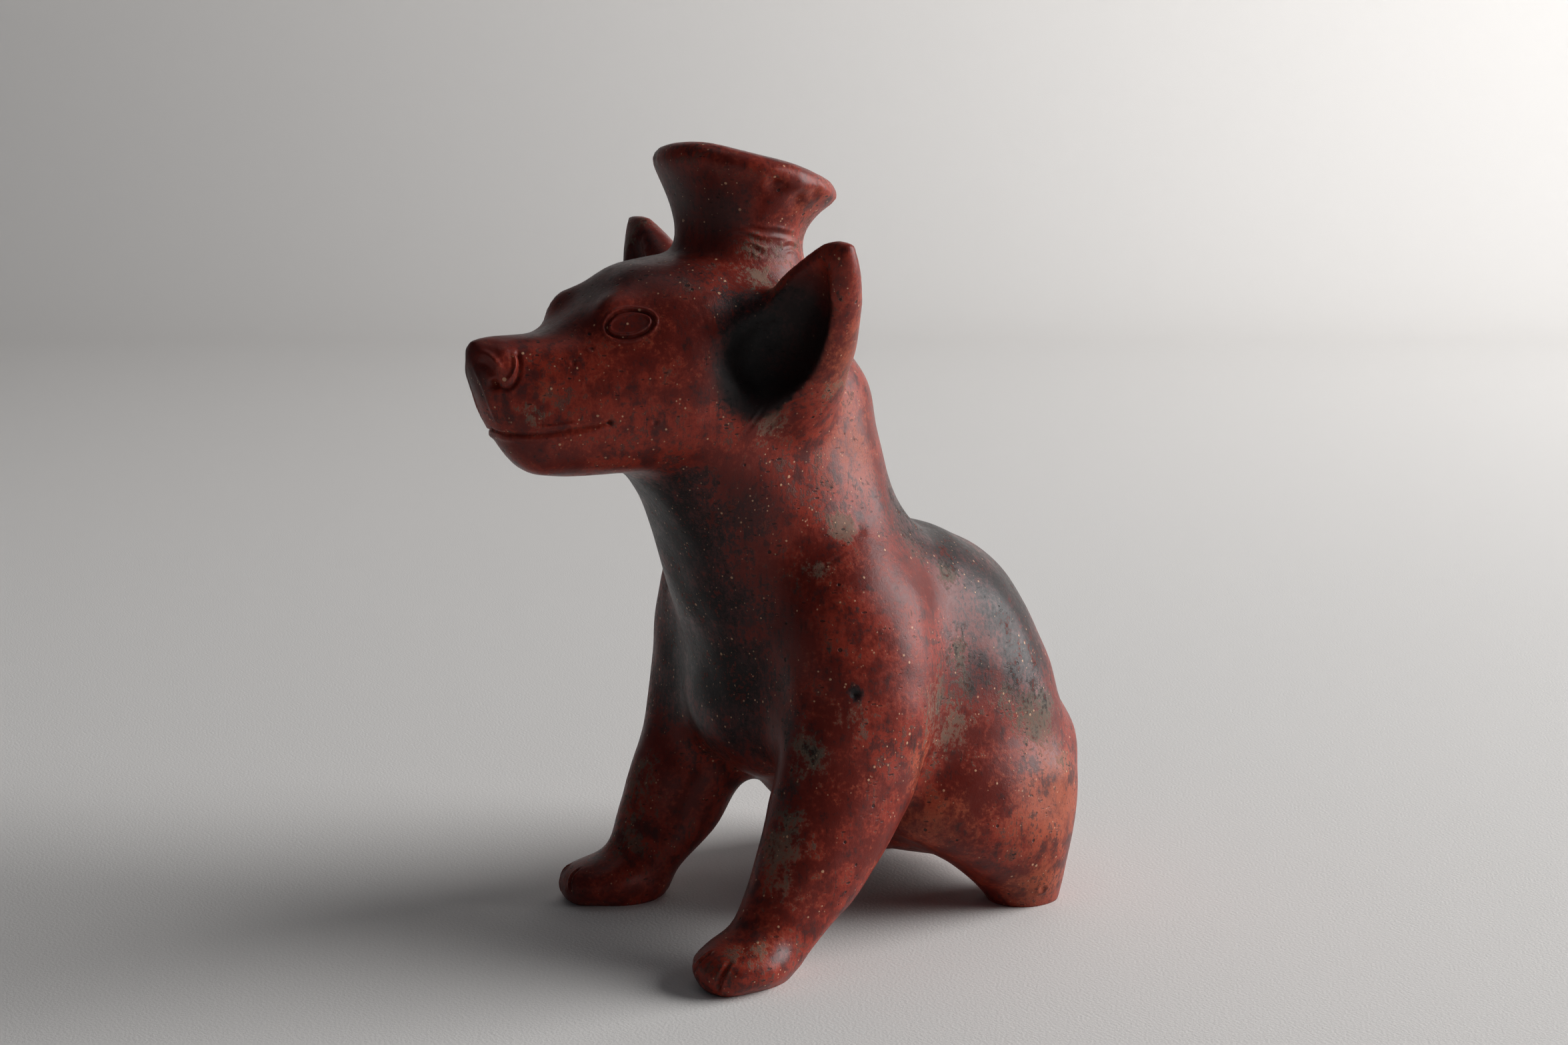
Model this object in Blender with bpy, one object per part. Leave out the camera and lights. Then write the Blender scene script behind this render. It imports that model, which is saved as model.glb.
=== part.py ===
"""A seated dog effigy vessel of burnished red earthenware, hollow, with a spout on its head.

The dog faces -Y, its left side is +X and it stands on Z = 0, with the origin under the middle of
its bounding box. Sizes are in metres. The forms are lofted as a potter would build them, joined
into one skin, smoothed where they meet, then hollowed and incised.
"""

import math

import bmesh
import bpy
import numpy as np
from mathutils import Vector

# How finely the clay is worked
RING_POINTS = 48
RING_STEP = 0.004
BODY_VOXEL = 0.003
SKIN_VOXEL = 0.002
HOLLOW_VOXEL = 0.003
BODY_FILLET = 0.012
TRIM_FILLET = 0.004
EDGE_ROUNDS = 4
OUTSIDE_TRIANGLES = 5500
HOLLOW_TRIANGLES = 1500

# Wall thickness of the body, and of the head, which is thicker behind the ears
BODY_WALL = 0.0065
HEAD_WALL = 0.018

# Sections across the plane of symmetry: (y, z, direction of the back in degrees from +Y to +Z,
# half width, reach to the back, reach to the belly)
TRUNK = (
    (-0.040, 0.224, 0, 0.026, 0.027, 0.030),
    (-0.037, 0.206, 2, 0.035, 0.0450, 0.040),
    (-0.033, 0.180, 4, 0.038, 0.0500, 0.0485),
    (-0.026, 0.156, 8, 0.041, 0.0482, 0.0415),
    (-0.012, 0.130, 26, 0.047, 0.044, 0.046),
    (0.010, 0.104, 42, 0.052, 0.055, 0.058),
    (0.031, 0.080, 50, 0.056, 0.063, 0.061),
    (0.053, 0.058, 54, 0.057, 0.056, 0.050),
    (0.071, 0.044, 56, 0.054, 0.042, 0.038),
)
RUMP_DOME = 0.030
HEAD = (
    (-0.020, 0.207, 90, 0.030, 0.020, 0.024),
    (-0.031, 0.207, 90, 0.038, 0.033, 0.032),
    (-0.045, 0.207, 90, 0.042, 0.038, 0.037),
    (-0.070, 0.206, 90, 0.039, 0.0403, 0.0355),
    (-0.088, 0.205, 90, 0.033, 0.0368, 0.0335),
    (-0.102, 0.203, 90, 0.027, 0.027, 0.0305),
    (-0.113, 0.201, 90, 0.022, 0.022, 0.0285),
    (-0.124, 0.202, 90, 0.0165, 0.0195, 0.0270),
    (-0.1335, 0.206, 90, 0.0110, 0.0155, 0.0195),
    (-0.142, 0.212, 90, 0.006, 0.0095, 0.0060),
)
NAPE_DOME = 0.005
HEAD_POWER = 2.5
NOSE_DOME = 0.003
HEAD_HOLLOW_RANGE = slice(2, 6)

# Round sections of the spout and of its bore: (y, z, tip in degrees, radius)
SPOUT = (
    (-0.0400, 0.2260, 0, 0.0350),
    (-0.0380, 0.2400, 0, 0.0262),
    (-0.0365, 0.2510, 4, 0.0226),
    (-0.0358, 0.2610, 10, 0.0252),
    (-0.0345, 0.2688, 12.5, 0.0305),
    (-0.0336, 0.2726, 15, 0.0338),
    (-0.0330, 0.2766, 15, 0.0321),
)
LIP_DOME = 0.004
SPOUT_BORE = (
    (-0.0380, 0.2120, 0, 0.0190),
    (-0.0380, 0.2350, 0, 0.0175),
    (-0.0367, 0.2510, 4, 0.0160),
    (-0.0355, 0.2620, 9, 0.0185),
    (-0.0342, 0.2730, 15, 0.0235),
    (-0.0315, 0.2870, 15, 0.0275),
)
SPOUT_STEP = 0.002

# Swellings: (centre, half sizes)
BRISKET = ((0.0, -0.0245, 0.0845), (0.040, 0.0275, 0.0320))
TAIL = ((0.0, 0.0960, 0.056), (0.012, 0.017, 0.0105))
BROW = ((0.0165, -0.0885, 0.2258), (0.0085, 0.0165, 0.0115))
NOSE_WING = ((0.0062, -0.1335, 0.2120), (0.0062, 0.0062, 0.0085))

# Level sections of a limb on the left: (x, y, z, half width across, half width along)
FORELEG = (
    (0.030, -0.014, 0.152, 0.013, 0.018),
    (0.036, -0.014, 0.136, 0.020, 0.027),
    (0.042, -0.013, 0.112, 0.023, 0.031),
    (0.046, -0.0145, 0.088, 0.0230, 0.0305),
    (0.049, -0.0205, 0.066, 0.0215, 0.0290),
    (0.051, -0.0275, 0.050, 0.0200, 0.0275),
    (0.053, -0.0360, 0.036, 0.0180, 0.0245),
    (0.054, -0.0438, 0.023, 0.0160, 0.0218),
    (0.055, -0.0540, 0.012, 0.0140, 0.0170),
    (0.055, -0.0610, 0.000, 0.0115, 0.0120),
    (0.055, -0.0630, -0.008, 0.0080, 0.0080),
)
HIND_LEG = (
    (0.031, 0.0450, 0.070, 0.0260, 0.0380),
    (0.036, 0.0465, 0.052, 0.0275, 0.0450),
    (0.0385, 0.0465, 0.036, 0.0270, 0.0430),
    (0.0410, 0.0540, 0.024, 0.0230, 0.0312),
    (0.0425, 0.0603, 0.013, 0.0185, 0.0216),
    (0.0430, 0.0640, 0.005, 0.0150, 0.0172),
    (0.0430, 0.0650, 0.000, 0.0130, 0.0145),
    (0.0430, 0.0655, -0.008, 0.0090, 0.0100),
)
# How far out and ahead of its place each forepaw is set, and the height where that fades out
STRIDE = {1: (0.0, 0.004), -1: (-0.013, -0.001)}
NO_STRIDE = (0.0, 0.0)
STRIDE_TOP = 0.10

# A forepaw from heel to toe: (distance ahead, half width, height over its middle)
PAW = ((0.001, 0.0095, 0.007), (0.012, 0.0145, 0.011), (0.023, 0.0165, 0.0095), (0.032, 0.0140, 0.0065))
PAW_STEP = 0.003
PAW_HEEL = (0.054, -0.048)
PAW_TURN = 12
PAW_MIDDLE = 0.008
PAW_DEPTH = 0.0095
HEEL_DOME = 0.006
TOE_DOME = 0.008

# Level sections of the left ear: (x, y, z, half length, half thickness, turn outward in degrees)
EAR = (
    (0.016, -0.035, 0.166, 0.010, 0.012, 10),
    (0.024, -0.036, 0.186, 0.018, 0.017, 10),
    (0.032, -0.037, 0.202, 0.022, 0.019, 10),
    (0.041, -0.038, 0.218, 0.023, 0.017, 10),
    (0.050, -0.039, 0.232, 0.019, 0.0125, 8),
    (0.060, -0.040, 0.244, 0.012, 0.008, 4),
    (0.0685, -0.041, 0.2525, 0.005, 0.004, 0),
)
EAR_TIP_DOME = 0.002
# Sections along the left ear's hollow, from tip to cheek: (x, y, z, radius)
EAR_HOLLOW = (
    (0.0655, -0.0475, 0.2450, 0.0035),
    (0.0615, -0.0490, 0.2370, 0.0090),
    (0.0555, -0.0520, 0.2270, 0.0135),
    (0.0490, -0.0555, 0.2155, 0.0155),
    (0.0460, -0.0580, 0.2055, 0.0130),
    (0.0450, -0.0585, 0.1970, 0.0075),
)
EAR_HOLLOW_TIP_DOME = 0.002
EAR_HOLLOW_CHEEK_DOME = 0.004
# How wide the right ear's hollow is for one of the left, and how much nearer the middle it lies
RIGHT_EAR_HOLLOW_SHARE = 0.8
RIGHT_EAR_HOLLOW_INWARD = 0.006
# How far the right ear stands from the left one's mirror image (out, back and up), at base and tip
RIGHT_EAR_BASE_SHIFT = (0.010, -0.005, 0.002)
RIGHT_EAR_TIP_SHIFT = (-0.002, 0.003, 0.005)

# Incised lines on the left: points near the surface, and the tool's radius at their two ends
MOUTH = (
    (0.0000, -0.1380, 0.1922),
    (0.0026, -0.1358, 0.1911),
    (0.0070, -0.1326, 0.1896),
    (0.0119, -0.1269, 0.1890),
    (0.0161, -0.1207, 0.1896),
    (0.0194, -0.1141, 0.1910),
    (0.0246, -0.1029, 0.1930),
)
MOUTH_TOOL = (0.0008, 0.0008)
EYE_CENTRE = (0.0260, -0.0950, 0.2257)
EYE_LONG = (0.35, 0.93, 0.14)
EYE_HALF_SIZES = (0.0087, 0.0052)
EYE_POINTS = 25
EYE_TOOL = (0.0008, 0.0008)
NOSTRIL = (
    (0.0095, -0.1300, 0.2185),
    (0.0109, -0.1304, 0.2156),
    (0.0127, -0.1306, 0.2114),
    (0.0124, -0.1322, 0.2077),
    (0.0104, -0.1349, 0.2048),
    (0.0078, -0.1378, 0.2050),
)
NOSTRIL_TOOL = (0.0007, 0.0016)
TOE_CUTS = (
    ((0.0665, -0.0770, 0.0160), (0.0676, -0.0805, 0.0120), (0.0666, -0.0840, 0.0035)),
    ((0.0580, -0.0820, 0.0150), (0.0587, -0.0847, 0.0114), (0.0558, -0.0865, 0.0050)),
)
TOE_TOOL = (0.0010, 0.0010)
TOOL_SIDES = 8
TOOL_STEP = 0.0016

# The burnished slip
SLIP_COLOUR = (0.27, 0.065, 0.04, 1.0)
SLIP_ROUGHNESS = 0.42


def smooth_path(rows, step, places):
    """Rows of numbers on a smooth curve through the given ones, whose first columns are a place."""
    rows = np.array(rows, float)
    travel = np.linalg.norm(np.diff(rows[:, :places], axis=0), axis=1)
    at = np.concatenate([[0.0], np.cumsum(travel)])
    slope = np.gradient(rows, at, axis=0)
    wanted = np.linspace(0, at[-1], max(2, round(at[-1] / step)) + 1)
    left = np.clip(np.searchsorted(at, wanted, side="right") - 1, 0, len(at) - 2)
    span = (at[left + 1] - at[left])[:, None]
    t = (wanted - at[left])[:, None] / span
    return (
        (2 * t**3 - 3 * t**2 + 1) * rows[left]
        + (t**3 - 2 * t**2 + t) * span * slope[left]
        + (3 * t**2 - 2 * t**3) * rows[left + 1]
        + (t**3 - t**2) * span * slope[left + 1]
    )


def oval(centre, side, rise, wide, high, low=None, power=2.0, count=RING_POINTS):
    """A ring of points round a centre, reaching wide along side, and high or low along rise."""
    around = np.linspace(0, 2 * math.pi, count, endpoint=False)
    across = np.sign(np.cos(around)) * np.abs(np.cos(around)) ** (2 / power)
    up = np.sign(np.sin(around)) * np.abs(np.sin(around)) ** (2 / power)
    reach = np.where(up > 0, high, high if low is None else low) * up
    return np.array(centre) + np.outer(across * wide, side) + np.outer(reach, rise)


def dome(rings, depth, steps=6):
    """The rings with shrinking ones added past the last, so that the form ends in a dome."""
    base = rings[-1]
    centre = base.mean(axis=0)
    ahead = centre - rings[-2].mean(axis=0)
    ahead *= depth / np.linalg.norm(ahead)
    turns = [math.pi / 2 * i / (steps + 0.3) for i in range(1, steps + 1)]
    return rings + [centre + (base - centre) * math.cos(turn) + ahead * math.sin(turn) for turn in turns]


def thing_from(name, shape):
    """A new object that holds the bmesh, which is freed."""
    mesh = bpy.data.meshes.new(name)
    shape.to_mesh(mesh)
    shape.free()
    thing = bpy.data.objects.new(name, mesh)
    bpy.context.collection.objects.link(thing)
    return thing


def skin(name, rings, closed=False):
    """An object skinned over a row of rings of points, capped at both ends unless the row is a loop."""
    shape = bmesh.new()
    loops = [[shape.verts.new(point) for point in ring] for ring in rings]
    pairs = list(zip(loops, loops[1:]))
    if closed:
        pairs.append((loops[-1], loops[0]))
    for near, far in pairs:
        for i in range(len(near)):
            shape.faces.new((near[i - 1], near[i], far[i], far[i - 1]))
    if not closed:
        shape.faces.new(loops[0])
        shape.faces.new(loops[-1])
    bmesh.ops.recalc_face_normals(shape, faces=shape.faces)
    return thing_from(name, shape)


def middle_form(name, sections, end, start=0.0, power=2.2):
    """A form whose sections lie across the plane of symmetry, domed at its end and, if asked, its start."""
    rings = []
    for y, z, degrees, wide, back, belly in smooth_path(sections, RING_STEP, 2):
        angle = math.radians(degrees)
        rise = (0, math.cos(angle), math.sin(angle))
        rings.append(oval((0, y, z), (1, 0, 0), rise, wide, back, belly, power))
    rings = dome(rings, end)
    if start:
        rings = dome(rings[::-1], start)
    return skin(name, rings)


def turned_rings(sections):
    """Rings of a round form, such as the spout, whose sections tip back as it rises."""
    rings = []
    for y, z, degrees, radius in smooth_path(sections, SPOUT_STEP, 2):
        angle = math.radians(degrees)
        rings.append(oval((0, y, z), (1, 0, 0), (0, math.cos(angle), -math.sin(angle)), radius, radius))
    return rings


def limb_form(name, sections, mirror, stride=NO_STRIDE):
    """A limb on the left, or with mirror -1 on the right."""
    rings = []
    for x, y, z, across, along in smooth_path(sections, RING_STEP, 3):
        out, ahead = np.array(stride) * max(0.0, 1 - z / STRIDE_TOP)
        rings.append(oval((mirror * (x + out), y - ahead, z), (1, 0, 0), (0, 1, 0), across, along))
    return skin(name, rings)


def paw_form(mirror):
    """A forepaw, domed at its heel and toes."""
    angle = math.radians(PAW_TURN)
    out, stride = STRIDE[mirror]
    ahead = np.array([mirror * math.sin(angle), -math.cos(angle), 0])
    side = np.array([-ahead[1], ahead[0], 0])
    heel = np.array([mirror * (PAW_HEEL[0] + out), PAW_HEEL[1] - stride, PAW_MIDDLE])
    rings = [
        oval(heel + ahead * along, side, (0, 0, 1), wide, high, PAW_DEPTH)
        for along, wide, high in smooth_path(PAW, PAW_STEP, 1)
    ]
    return skin("paw", dome(dome(rings, TOE_DOME)[::-1], HEEL_DOME))


def swelling(name, centre_and_size, mirror=1):
    """A round swelling of the clay."""
    (x, y, z), size = centre_and_size
    shape = bmesh.new()
    bmesh.ops.create_uvsphere(shape, u_segments=24, v_segments=16, radius=1)
    bmesh.ops.scale(shape, verts=shape.verts, vec=size)
    bmesh.ops.translate(shape, verts=shape.verts, vec=(mirror * x, y, z))
    return thing_from(name, shape)


def ear_place(rows, mirror):
    """Rows that start with a place on the left ear, moved to the ear on that side."""
    if mirror > 0:
        return rows
    base, tip = EAR[1][2], EAR[-1][2]
    up = np.clip((rows[:, 2:3] - base) / (tip - base), 0, 1)
    shift = np.array(RIGHT_EAR_BASE_SHIFT) * (1 - up) + np.array(RIGHT_EAR_TIP_SHIFT) * up
    placed = rows.copy()
    placed[:, :3] += shift
    placed[:, 0] *= -1
    return placed


def ear_form(mirror):
    """The outside of an ear."""
    rings = []
    for x, y, z, long, thick, turn in ear_place(smooth_path(EAR, RING_STEP, 3), mirror):
        angle = math.radians(turn)
        side = (mirror * math.cos(angle), math.sin(angle), 0)
        rise = (-mirror * math.sin(angle), math.cos(angle), 0)
        rings.append(oval((x, y, z), side, rise, long, thick))
    return skin("ear", dome(rings, EAR_TIP_DOME))


def tube_rings(rows, rises, count, closed=False):
    """Rings square to a path of (x, y, z, radius), each with its first quarter turned to its rise."""
    rings = []
    last = len(rows) - 1
    for i, (*centre, radius) in enumerate(rows):
        before = rows[i - 1] if i or closed else rows[0]
        after = rows[(i + 1) % len(rows)] if i < last or closed else rows[last]
        ahead = (after - before)[:3]
        side = np.cross(ahead, rises[i])
        side /= np.linalg.norm(side)
        rise = np.cross(side, ahead)
        rise /= np.linalg.norm(rise)
        rings.append(oval(centre, side, rise, radius, radius, count=count))
    return rings


def ear_hollow_form(mirror):
    """The hollow of an ear, as a cutter."""
    path = ear_place(smooth_path(EAR_HOLLOW, RING_STEP, 3), mirror)
    if mirror < 0:
        path[:, 0] += RIGHT_EAR_HOLLOW_INWARD
        path[:, 3] *= RIGHT_EAR_HOLLOW_SHARE
    rings = tube_rings(path, [(1.0, 0.0, 0.0)] * len(path), RING_POINTS)
    return skin("ear_hollow", dome(dome(rings, EAR_HOLLOW_CHEEK_DOME)[::-1], EAR_HOLLOW_TIP_DOME))


def applied(thing):
    """Bakes an object's modifiers into its mesh."""
    graph = bpy.context.evaluated_depsgraph_get()
    mesh = bpy.data.meshes.new_from_object(thing.evaluated_get(graph))
    thing.modifiers.clear()
    thing.data = mesh
    return thing


def fused(name, things, voxel):
    """One even skin over things that overlap, which are used up."""
    shape = bmesh.new()
    for thing in things:
        shape.from_mesh(thing.data)
        bpy.data.objects.remove(thing)
    whole = thing_from(name, shape)
    remesh = whole.modifiers.new("one_skin", "REMESH")
    remesh.mode = "VOXEL"
    remesh.voxel_size = voxel
    return applied(whole)


def fill_creases(thing, reach, voxel):
    """Rounds the inner corners of a fine even skin, as wet clay is smoothed into a joint."""
    mesh = thing.data
    points = np.empty(len(mesh.vertices) * 3)
    mesh.vertices.foreach_get("co", points)
    points = points.reshape(-1, 3)
    normals = np.empty(points.size)
    edges = np.empty(len(mesh.edges) * 2, int)
    mesh.edges.foreach_get("vertices", edges)
    a, b = edges.reshape(-1, 2).T
    neighbours = np.bincount(np.concatenate([a, b]), minlength=len(points))[:, None]
    for _ in range(round((reach / voxel) ** 2)):
        total = [
            np.bincount(a, points[b, k], len(points)) + np.bincount(b, points[a, k], len(points))
            for k in range(3)
        ]
        move = np.stack(total, 1) / neighbours - points
        mesh.vertices.foreach_get("normal", normals)
        outward = (move * normals.reshape(-1, 3)).sum(1) > 0
        points += 0.5 * move * outward[:, None]
        mesh.vertices.foreach_set("co", points.ravel())
        mesh.update()
    return thing


def cut(thing, cutter):
    """Takes a cutter's shape out of an object."""
    boolean = thing.modifiers.new(cutter.name, "BOOLEAN")
    boolean.operation = "DIFFERENCE"
    boolean.object = cutter
    applied(thing)
    bpy.data.objects.remove(cutter)


def smoothed(thing, rounds):
    """Softens every edge a little."""
    smooth = thing.modifiers.new("soft_edges", "SMOOTH")
    smooth.iterations = rounds
    return applied(thing)


def thinned(thing, triangles):
    """Brings a fine skin down to a number of triangles."""
    triangulate = thing.modifiers.new("triangles", "TRIANGULATE")
    triangulate.min_vertices = 4
    applied(thing)
    decimate = thing.modifiers.new("fewer_faces", "DECIMATE")
    decimate.ratio = triangles / len(thing.data.polygons)
    return applied(thing)


def incise(dog, clay, name, points, tool, closed=False):
    """Draws a round tool along the clay nearest to some points; tool is its radius at both ends."""
    path = smooth_path([(*point, 0.0) for point in points], TOOL_STEP, 3)
    path[:, 3] = np.linspace(*tool, len(path))
    if closed:
        path = path[:-1]
    outward = []
    for row in path:
        row[:3], normal = clay.closest_point_on_mesh(Vector(row[:3]))[1:3]
        outward.append(normal)
    cut(dog, skin(name, tube_rings(path, outward, TOOL_SIDES, closed), closed))


def carve_face(dog, clay, mirror):
    """The ring round an eye, and a nostril with the groove behind its wing."""
    side = np.array([mirror, 1, 1])
    centre = np.array(EYE_CENTRE) * side
    out = np.array(clay.closest_point_on_mesh(Vector(centre))[2])
    along = np.array(EYE_LONG) * side
    along -= out * (along @ out)
    along /= np.linalg.norm(along)
    up = np.cross(out, along)
    wide, high = EYE_HALF_SIZES
    turns = np.linspace(0, 2 * math.pi, EYE_POINTS)
    ring = [centre + along * wide * math.cos(turn) + up * high * math.sin(turn) for turn in turns]
    incise(dog, clay, "eye_ring", ring, EYE_TOOL, closed=True)
    incise(dog, clay, "nostril", np.array(NOSTRIL) * side, NOSTRIL_TOOL)


def carve_mouth(dog, clay):
    """The line of the mouth, from corner to corner round the front."""
    left = np.array(MOUTH)
    right = left[:0:-1] * (-1, 1, 1)
    incise(dog, clay, "mouth", np.concatenate([right, left]), MOUTH_TOOL)


def carve_toes(dog, clay, mirror):
    """The cuts between the toes of a forepaw."""
    out, ahead = STRIDE[mirror]
    for points in TOE_CUTS:
        placed = (np.array(points) + (out, -ahead, 0)) * (mirror, 1, 1)
        incise(dog, clay, "toe_cut", placed, TOE_TOOL)


def outside():
    """The whole animal, not yet hollow, as one fine skin."""
    forms = [
        middle_form("trunk", TRUNK, RUMP_DOME),
        middle_form("head", HEAD, NOSE_DOME, NAPE_DOME, HEAD_POWER),
        swelling("brisket", BRISKET),
        swelling("tail", TAIL),
    ]
    for mirror in (1, -1):
        forms.append(swelling("brow", BROW, mirror))
        forms.append(limb_form("foreleg", FORELEG, mirror, STRIDE[mirror]))
        forms.append(paw_form(mirror))
        forms.append(limb_form("hind_leg", HIND_LEG, mirror))
    body = fill_creases(fused("body", forms, BODY_VOXEL), BODY_FILLET, BODY_VOXEL)
    added = [body, skin("spout", dome(turned_rings(SPOUT), LIP_DOME))]
    for mirror in (1, -1):
        added.append(ear_form(mirror))
        added.append(swelling("nose_wing", NOSE_WING, mirror))
    dog = fused("dog", added, SKIN_VOXEL)
    fill_creases(dog, TRIM_FILLET, SKIN_VOXEL)
    for mirror in (1, -1):
        cut(dog, ear_hollow_form(mirror))
    return smoothed(fused("clay", [dog], SKIN_VOXEL), EDGE_ROUNDS)


def inside():
    """The hollow of the vessel, from the haunches up through the neck and head to the spout's mouth."""
    trunk = np.array(TRUNK) - (0, 0, 0, BODY_WALL, BODY_WALL, BODY_WALL)
    head = np.array(HEAD[HEAD_HOLLOW_RANGE]) - (0, 0, 0, HEAD_WALL, HEAD_WALL, HEAD_WALL)
    forms = [
        middle_form("trunk_hollow", trunk, RUMP_DOME - BODY_WALL),
        middle_form("head_hollow", head, NOSE_DOME),
        skin("bore", turned_rings(SPOUT_BORE)),
    ]
    hollow = fill_creases(fused("hollow", forms, HOLLOW_VOXEL), BODY_FILLET / 2, HOLLOW_VOXEL)
    return thinned(hollow, HOLLOW_TRIANGLES)


def stand_flat(dog):
    """Cuts the feet flat where they meet what the animal stands on."""
    size = 0.5
    slab = bmesh.new()
    bmesh.ops.create_cube(slab, size=size)
    bmesh.ops.translate(slab, verts=slab.verts, vec=(0, 0, -size / 2))
    cut(dog, thing_from("ground", slab))


def centre_over_origin(dog):
    """Moves the mesh so that the origin lies under the middle of its box."""
    corners = [dog.matrix_world @ Vector(corner) for corner in dog.bound_box]
    low = [min(corner[k] for corner in corners) for k in range(3)]
    high = [max(corner[k] for corner in corners) for k in range(3)]
    shift = [-(low[0] + high[0]) / 2, -(low[1] + high[1]) / 2, -low[2]]
    shape = bmesh.new()
    shape.from_mesh(dog.data)
    bmesh.ops.translate(shape, verts=shape.verts, vec=shift)
    shape.to_mesh(dog.data)
    shape.free()


def slip_material():
    """The burnished red slip."""
    material = bpy.data.materials.new("burnished_red_slip")
    material.use_nodes = True
    shader = material.node_tree.nodes["Principled BSDF"]
    shader.inputs["Base Color"].default_value = SLIP_COLOUR
    shader.inputs["Roughness"].default_value = SLIP_ROUGHNESS
    shader.inputs["Metallic"].default_value = 0.0
    return material


def main():
    for thing in list(bpy.data.objects):
        bpy.data.objects.remove(thing)
    clay = outside()
    dog = bpy.data.objects.new("dog_vessel", clay.data.copy())
    bpy.context.collection.objects.link(dog)
    thinned(dog, OUTSIDE_TRIANGLES)
    carve_mouth(dog, clay)
    for mirror in (1, -1):
        carve_face(dog, clay, mirror)
        carve_toes(dog, clay, mirror)
    bpy.data.objects.remove(clay)
    cut(dog, inside())
    stand_flat(dog)
    centre_over_origin(dog)
    dog.data.materials.clear()
    dog.data.materials.append(slip_material())
    dog.data.shade_smooth()
    dog.data.set_sharp_from_angle(angle=math.radians(50))


main()
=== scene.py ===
"""Looks of a seated dog effigy vessel of burnished red earthenware, in the frame of its solid.

The dog faces -Y and its left side is +X. Sizes are in metres, and places on the vessel are given in
the potter's own frame, whose origin is near the middle of the body, before it is set over the solid.
"""

import logging
import math
from collections.abc import Iterable, Sequence
from dataclasses import dataclass
from enum import Enum

import bmesh
import bpy
import numpy as np
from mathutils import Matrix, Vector


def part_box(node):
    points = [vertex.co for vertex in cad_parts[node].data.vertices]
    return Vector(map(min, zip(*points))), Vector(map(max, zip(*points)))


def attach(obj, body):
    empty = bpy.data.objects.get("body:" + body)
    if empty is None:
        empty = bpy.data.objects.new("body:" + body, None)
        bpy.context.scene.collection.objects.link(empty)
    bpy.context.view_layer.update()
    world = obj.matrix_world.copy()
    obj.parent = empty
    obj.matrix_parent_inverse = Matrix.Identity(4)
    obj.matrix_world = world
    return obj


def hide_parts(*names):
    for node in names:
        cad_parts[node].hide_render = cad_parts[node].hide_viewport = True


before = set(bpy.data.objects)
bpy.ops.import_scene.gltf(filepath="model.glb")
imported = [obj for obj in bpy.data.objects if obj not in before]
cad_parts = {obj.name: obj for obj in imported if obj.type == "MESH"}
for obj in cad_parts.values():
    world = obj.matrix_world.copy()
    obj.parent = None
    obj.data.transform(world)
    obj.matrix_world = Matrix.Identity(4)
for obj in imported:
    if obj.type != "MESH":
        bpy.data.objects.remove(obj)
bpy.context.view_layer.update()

log = logging.getLogger("dog_vessel")

Row = tuple[float, ...]
Place = tuple[float, float, float]
Thing = bpy.types.Object
Socket = bpy.types.NodeSocket

CAD_NODE = "dog_vessel"
RING_POINTS = 48


class Side(Enum):
    """Which side of the dog a paired form is on, as the sign of its x."""

    LEFT = 1
    RIGHT = -1


def smooth_path(rows: Sequence[Row] | np.ndarray, step: float, places: int) -> np.ndarray:
    """Puts rows of numbers on a smooth curve.

    Args:
        rows: The rows to pass through, whose first numbers are a place.
        step: The distance between the rows wanted.
        places: How many of the numbers are the place.

    Returns:
        Rows of the same kind, evenly spaced along the curve.
    """
    rows = np.array(rows, float)
    travel = np.linalg.norm(np.diff(rows[:, :places], axis=0), axis=1)
    at = np.concatenate([[0.0], np.cumsum(travel)])
    slope = np.gradient(rows, at, axis=0)
    wanted = np.linspace(0, at[-1], max(2, round(at[-1] / step)) + 1)
    left = np.clip(np.searchsorted(at, wanted, side="right") - 1, 0, len(at) - 2)
    span = (at[left + 1] - at[left])[:, None]
    t = (wanted - at[left])[:, None] / span
    return (
        (2 * t**3 - 3 * t**2 + 1) * rows[left]
        + (t**3 - 2 * t**2 + t) * span * slope[left]
        + (3 * t**2 - 2 * t**3) * rows[left + 1]
        + (t**3 - t**2) * span * slope[left + 1]
    )


def oval(
    centre: Sequence[float],
    side: Sequence[float],
    rise: Sequence[float],
    wide: float,
    high: float,
    low: float | None = None,
    power: float = 2.0,
) -> np.ndarray:
    """Makes a ring of points.

    Args:
        centre: The ring's middle.
        side: The direction of its width.
        rise: The direction of its height.
        wide: How far it reaches along side.
        high: How far it reaches along rise.
        low: How far it reaches against rise, the same as high if not given.
        power: 2 for an ellipse, more for a squarer ring.

    Returns:
        One row for each point.
    """
    around = np.linspace(0, 2 * math.pi, RING_POINTS, endpoint=False)
    across = np.sign(np.cos(around)) * np.abs(np.cos(around)) ** (2 / power)
    up = np.sign(np.sin(around)) * np.abs(np.sin(around)) ** (2 / power)
    reach = np.where(up > 0, high, high if low is None else low) * up
    return np.array(centre) + np.outer(across * wide, side) + np.outer(reach, rise)


def dome(rings: list[np.ndarray], depth: float, steps: int = 6) -> list[np.ndarray]:
    """Adds shrinking rings past the last one, so that the form ends in a dome.

    Args:
        rings: The rings of the form.
        depth: How far the dome stands out.
        steps: How many rings it has.

    Returns:
        All the rings.
    """
    base = rings[-1]
    centre = base.mean(axis=0)
    ahead = centre - rings[-2].mean(axis=0)
    ahead *= depth / np.linalg.norm(ahead)
    turns = [math.pi / 2 * i / (steps + 0.3) for i in range(1, steps + 1)]
    return rings + [centre + (base - centre) * math.cos(turn) + ahead * math.sin(turn) for turn in turns]


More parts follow.
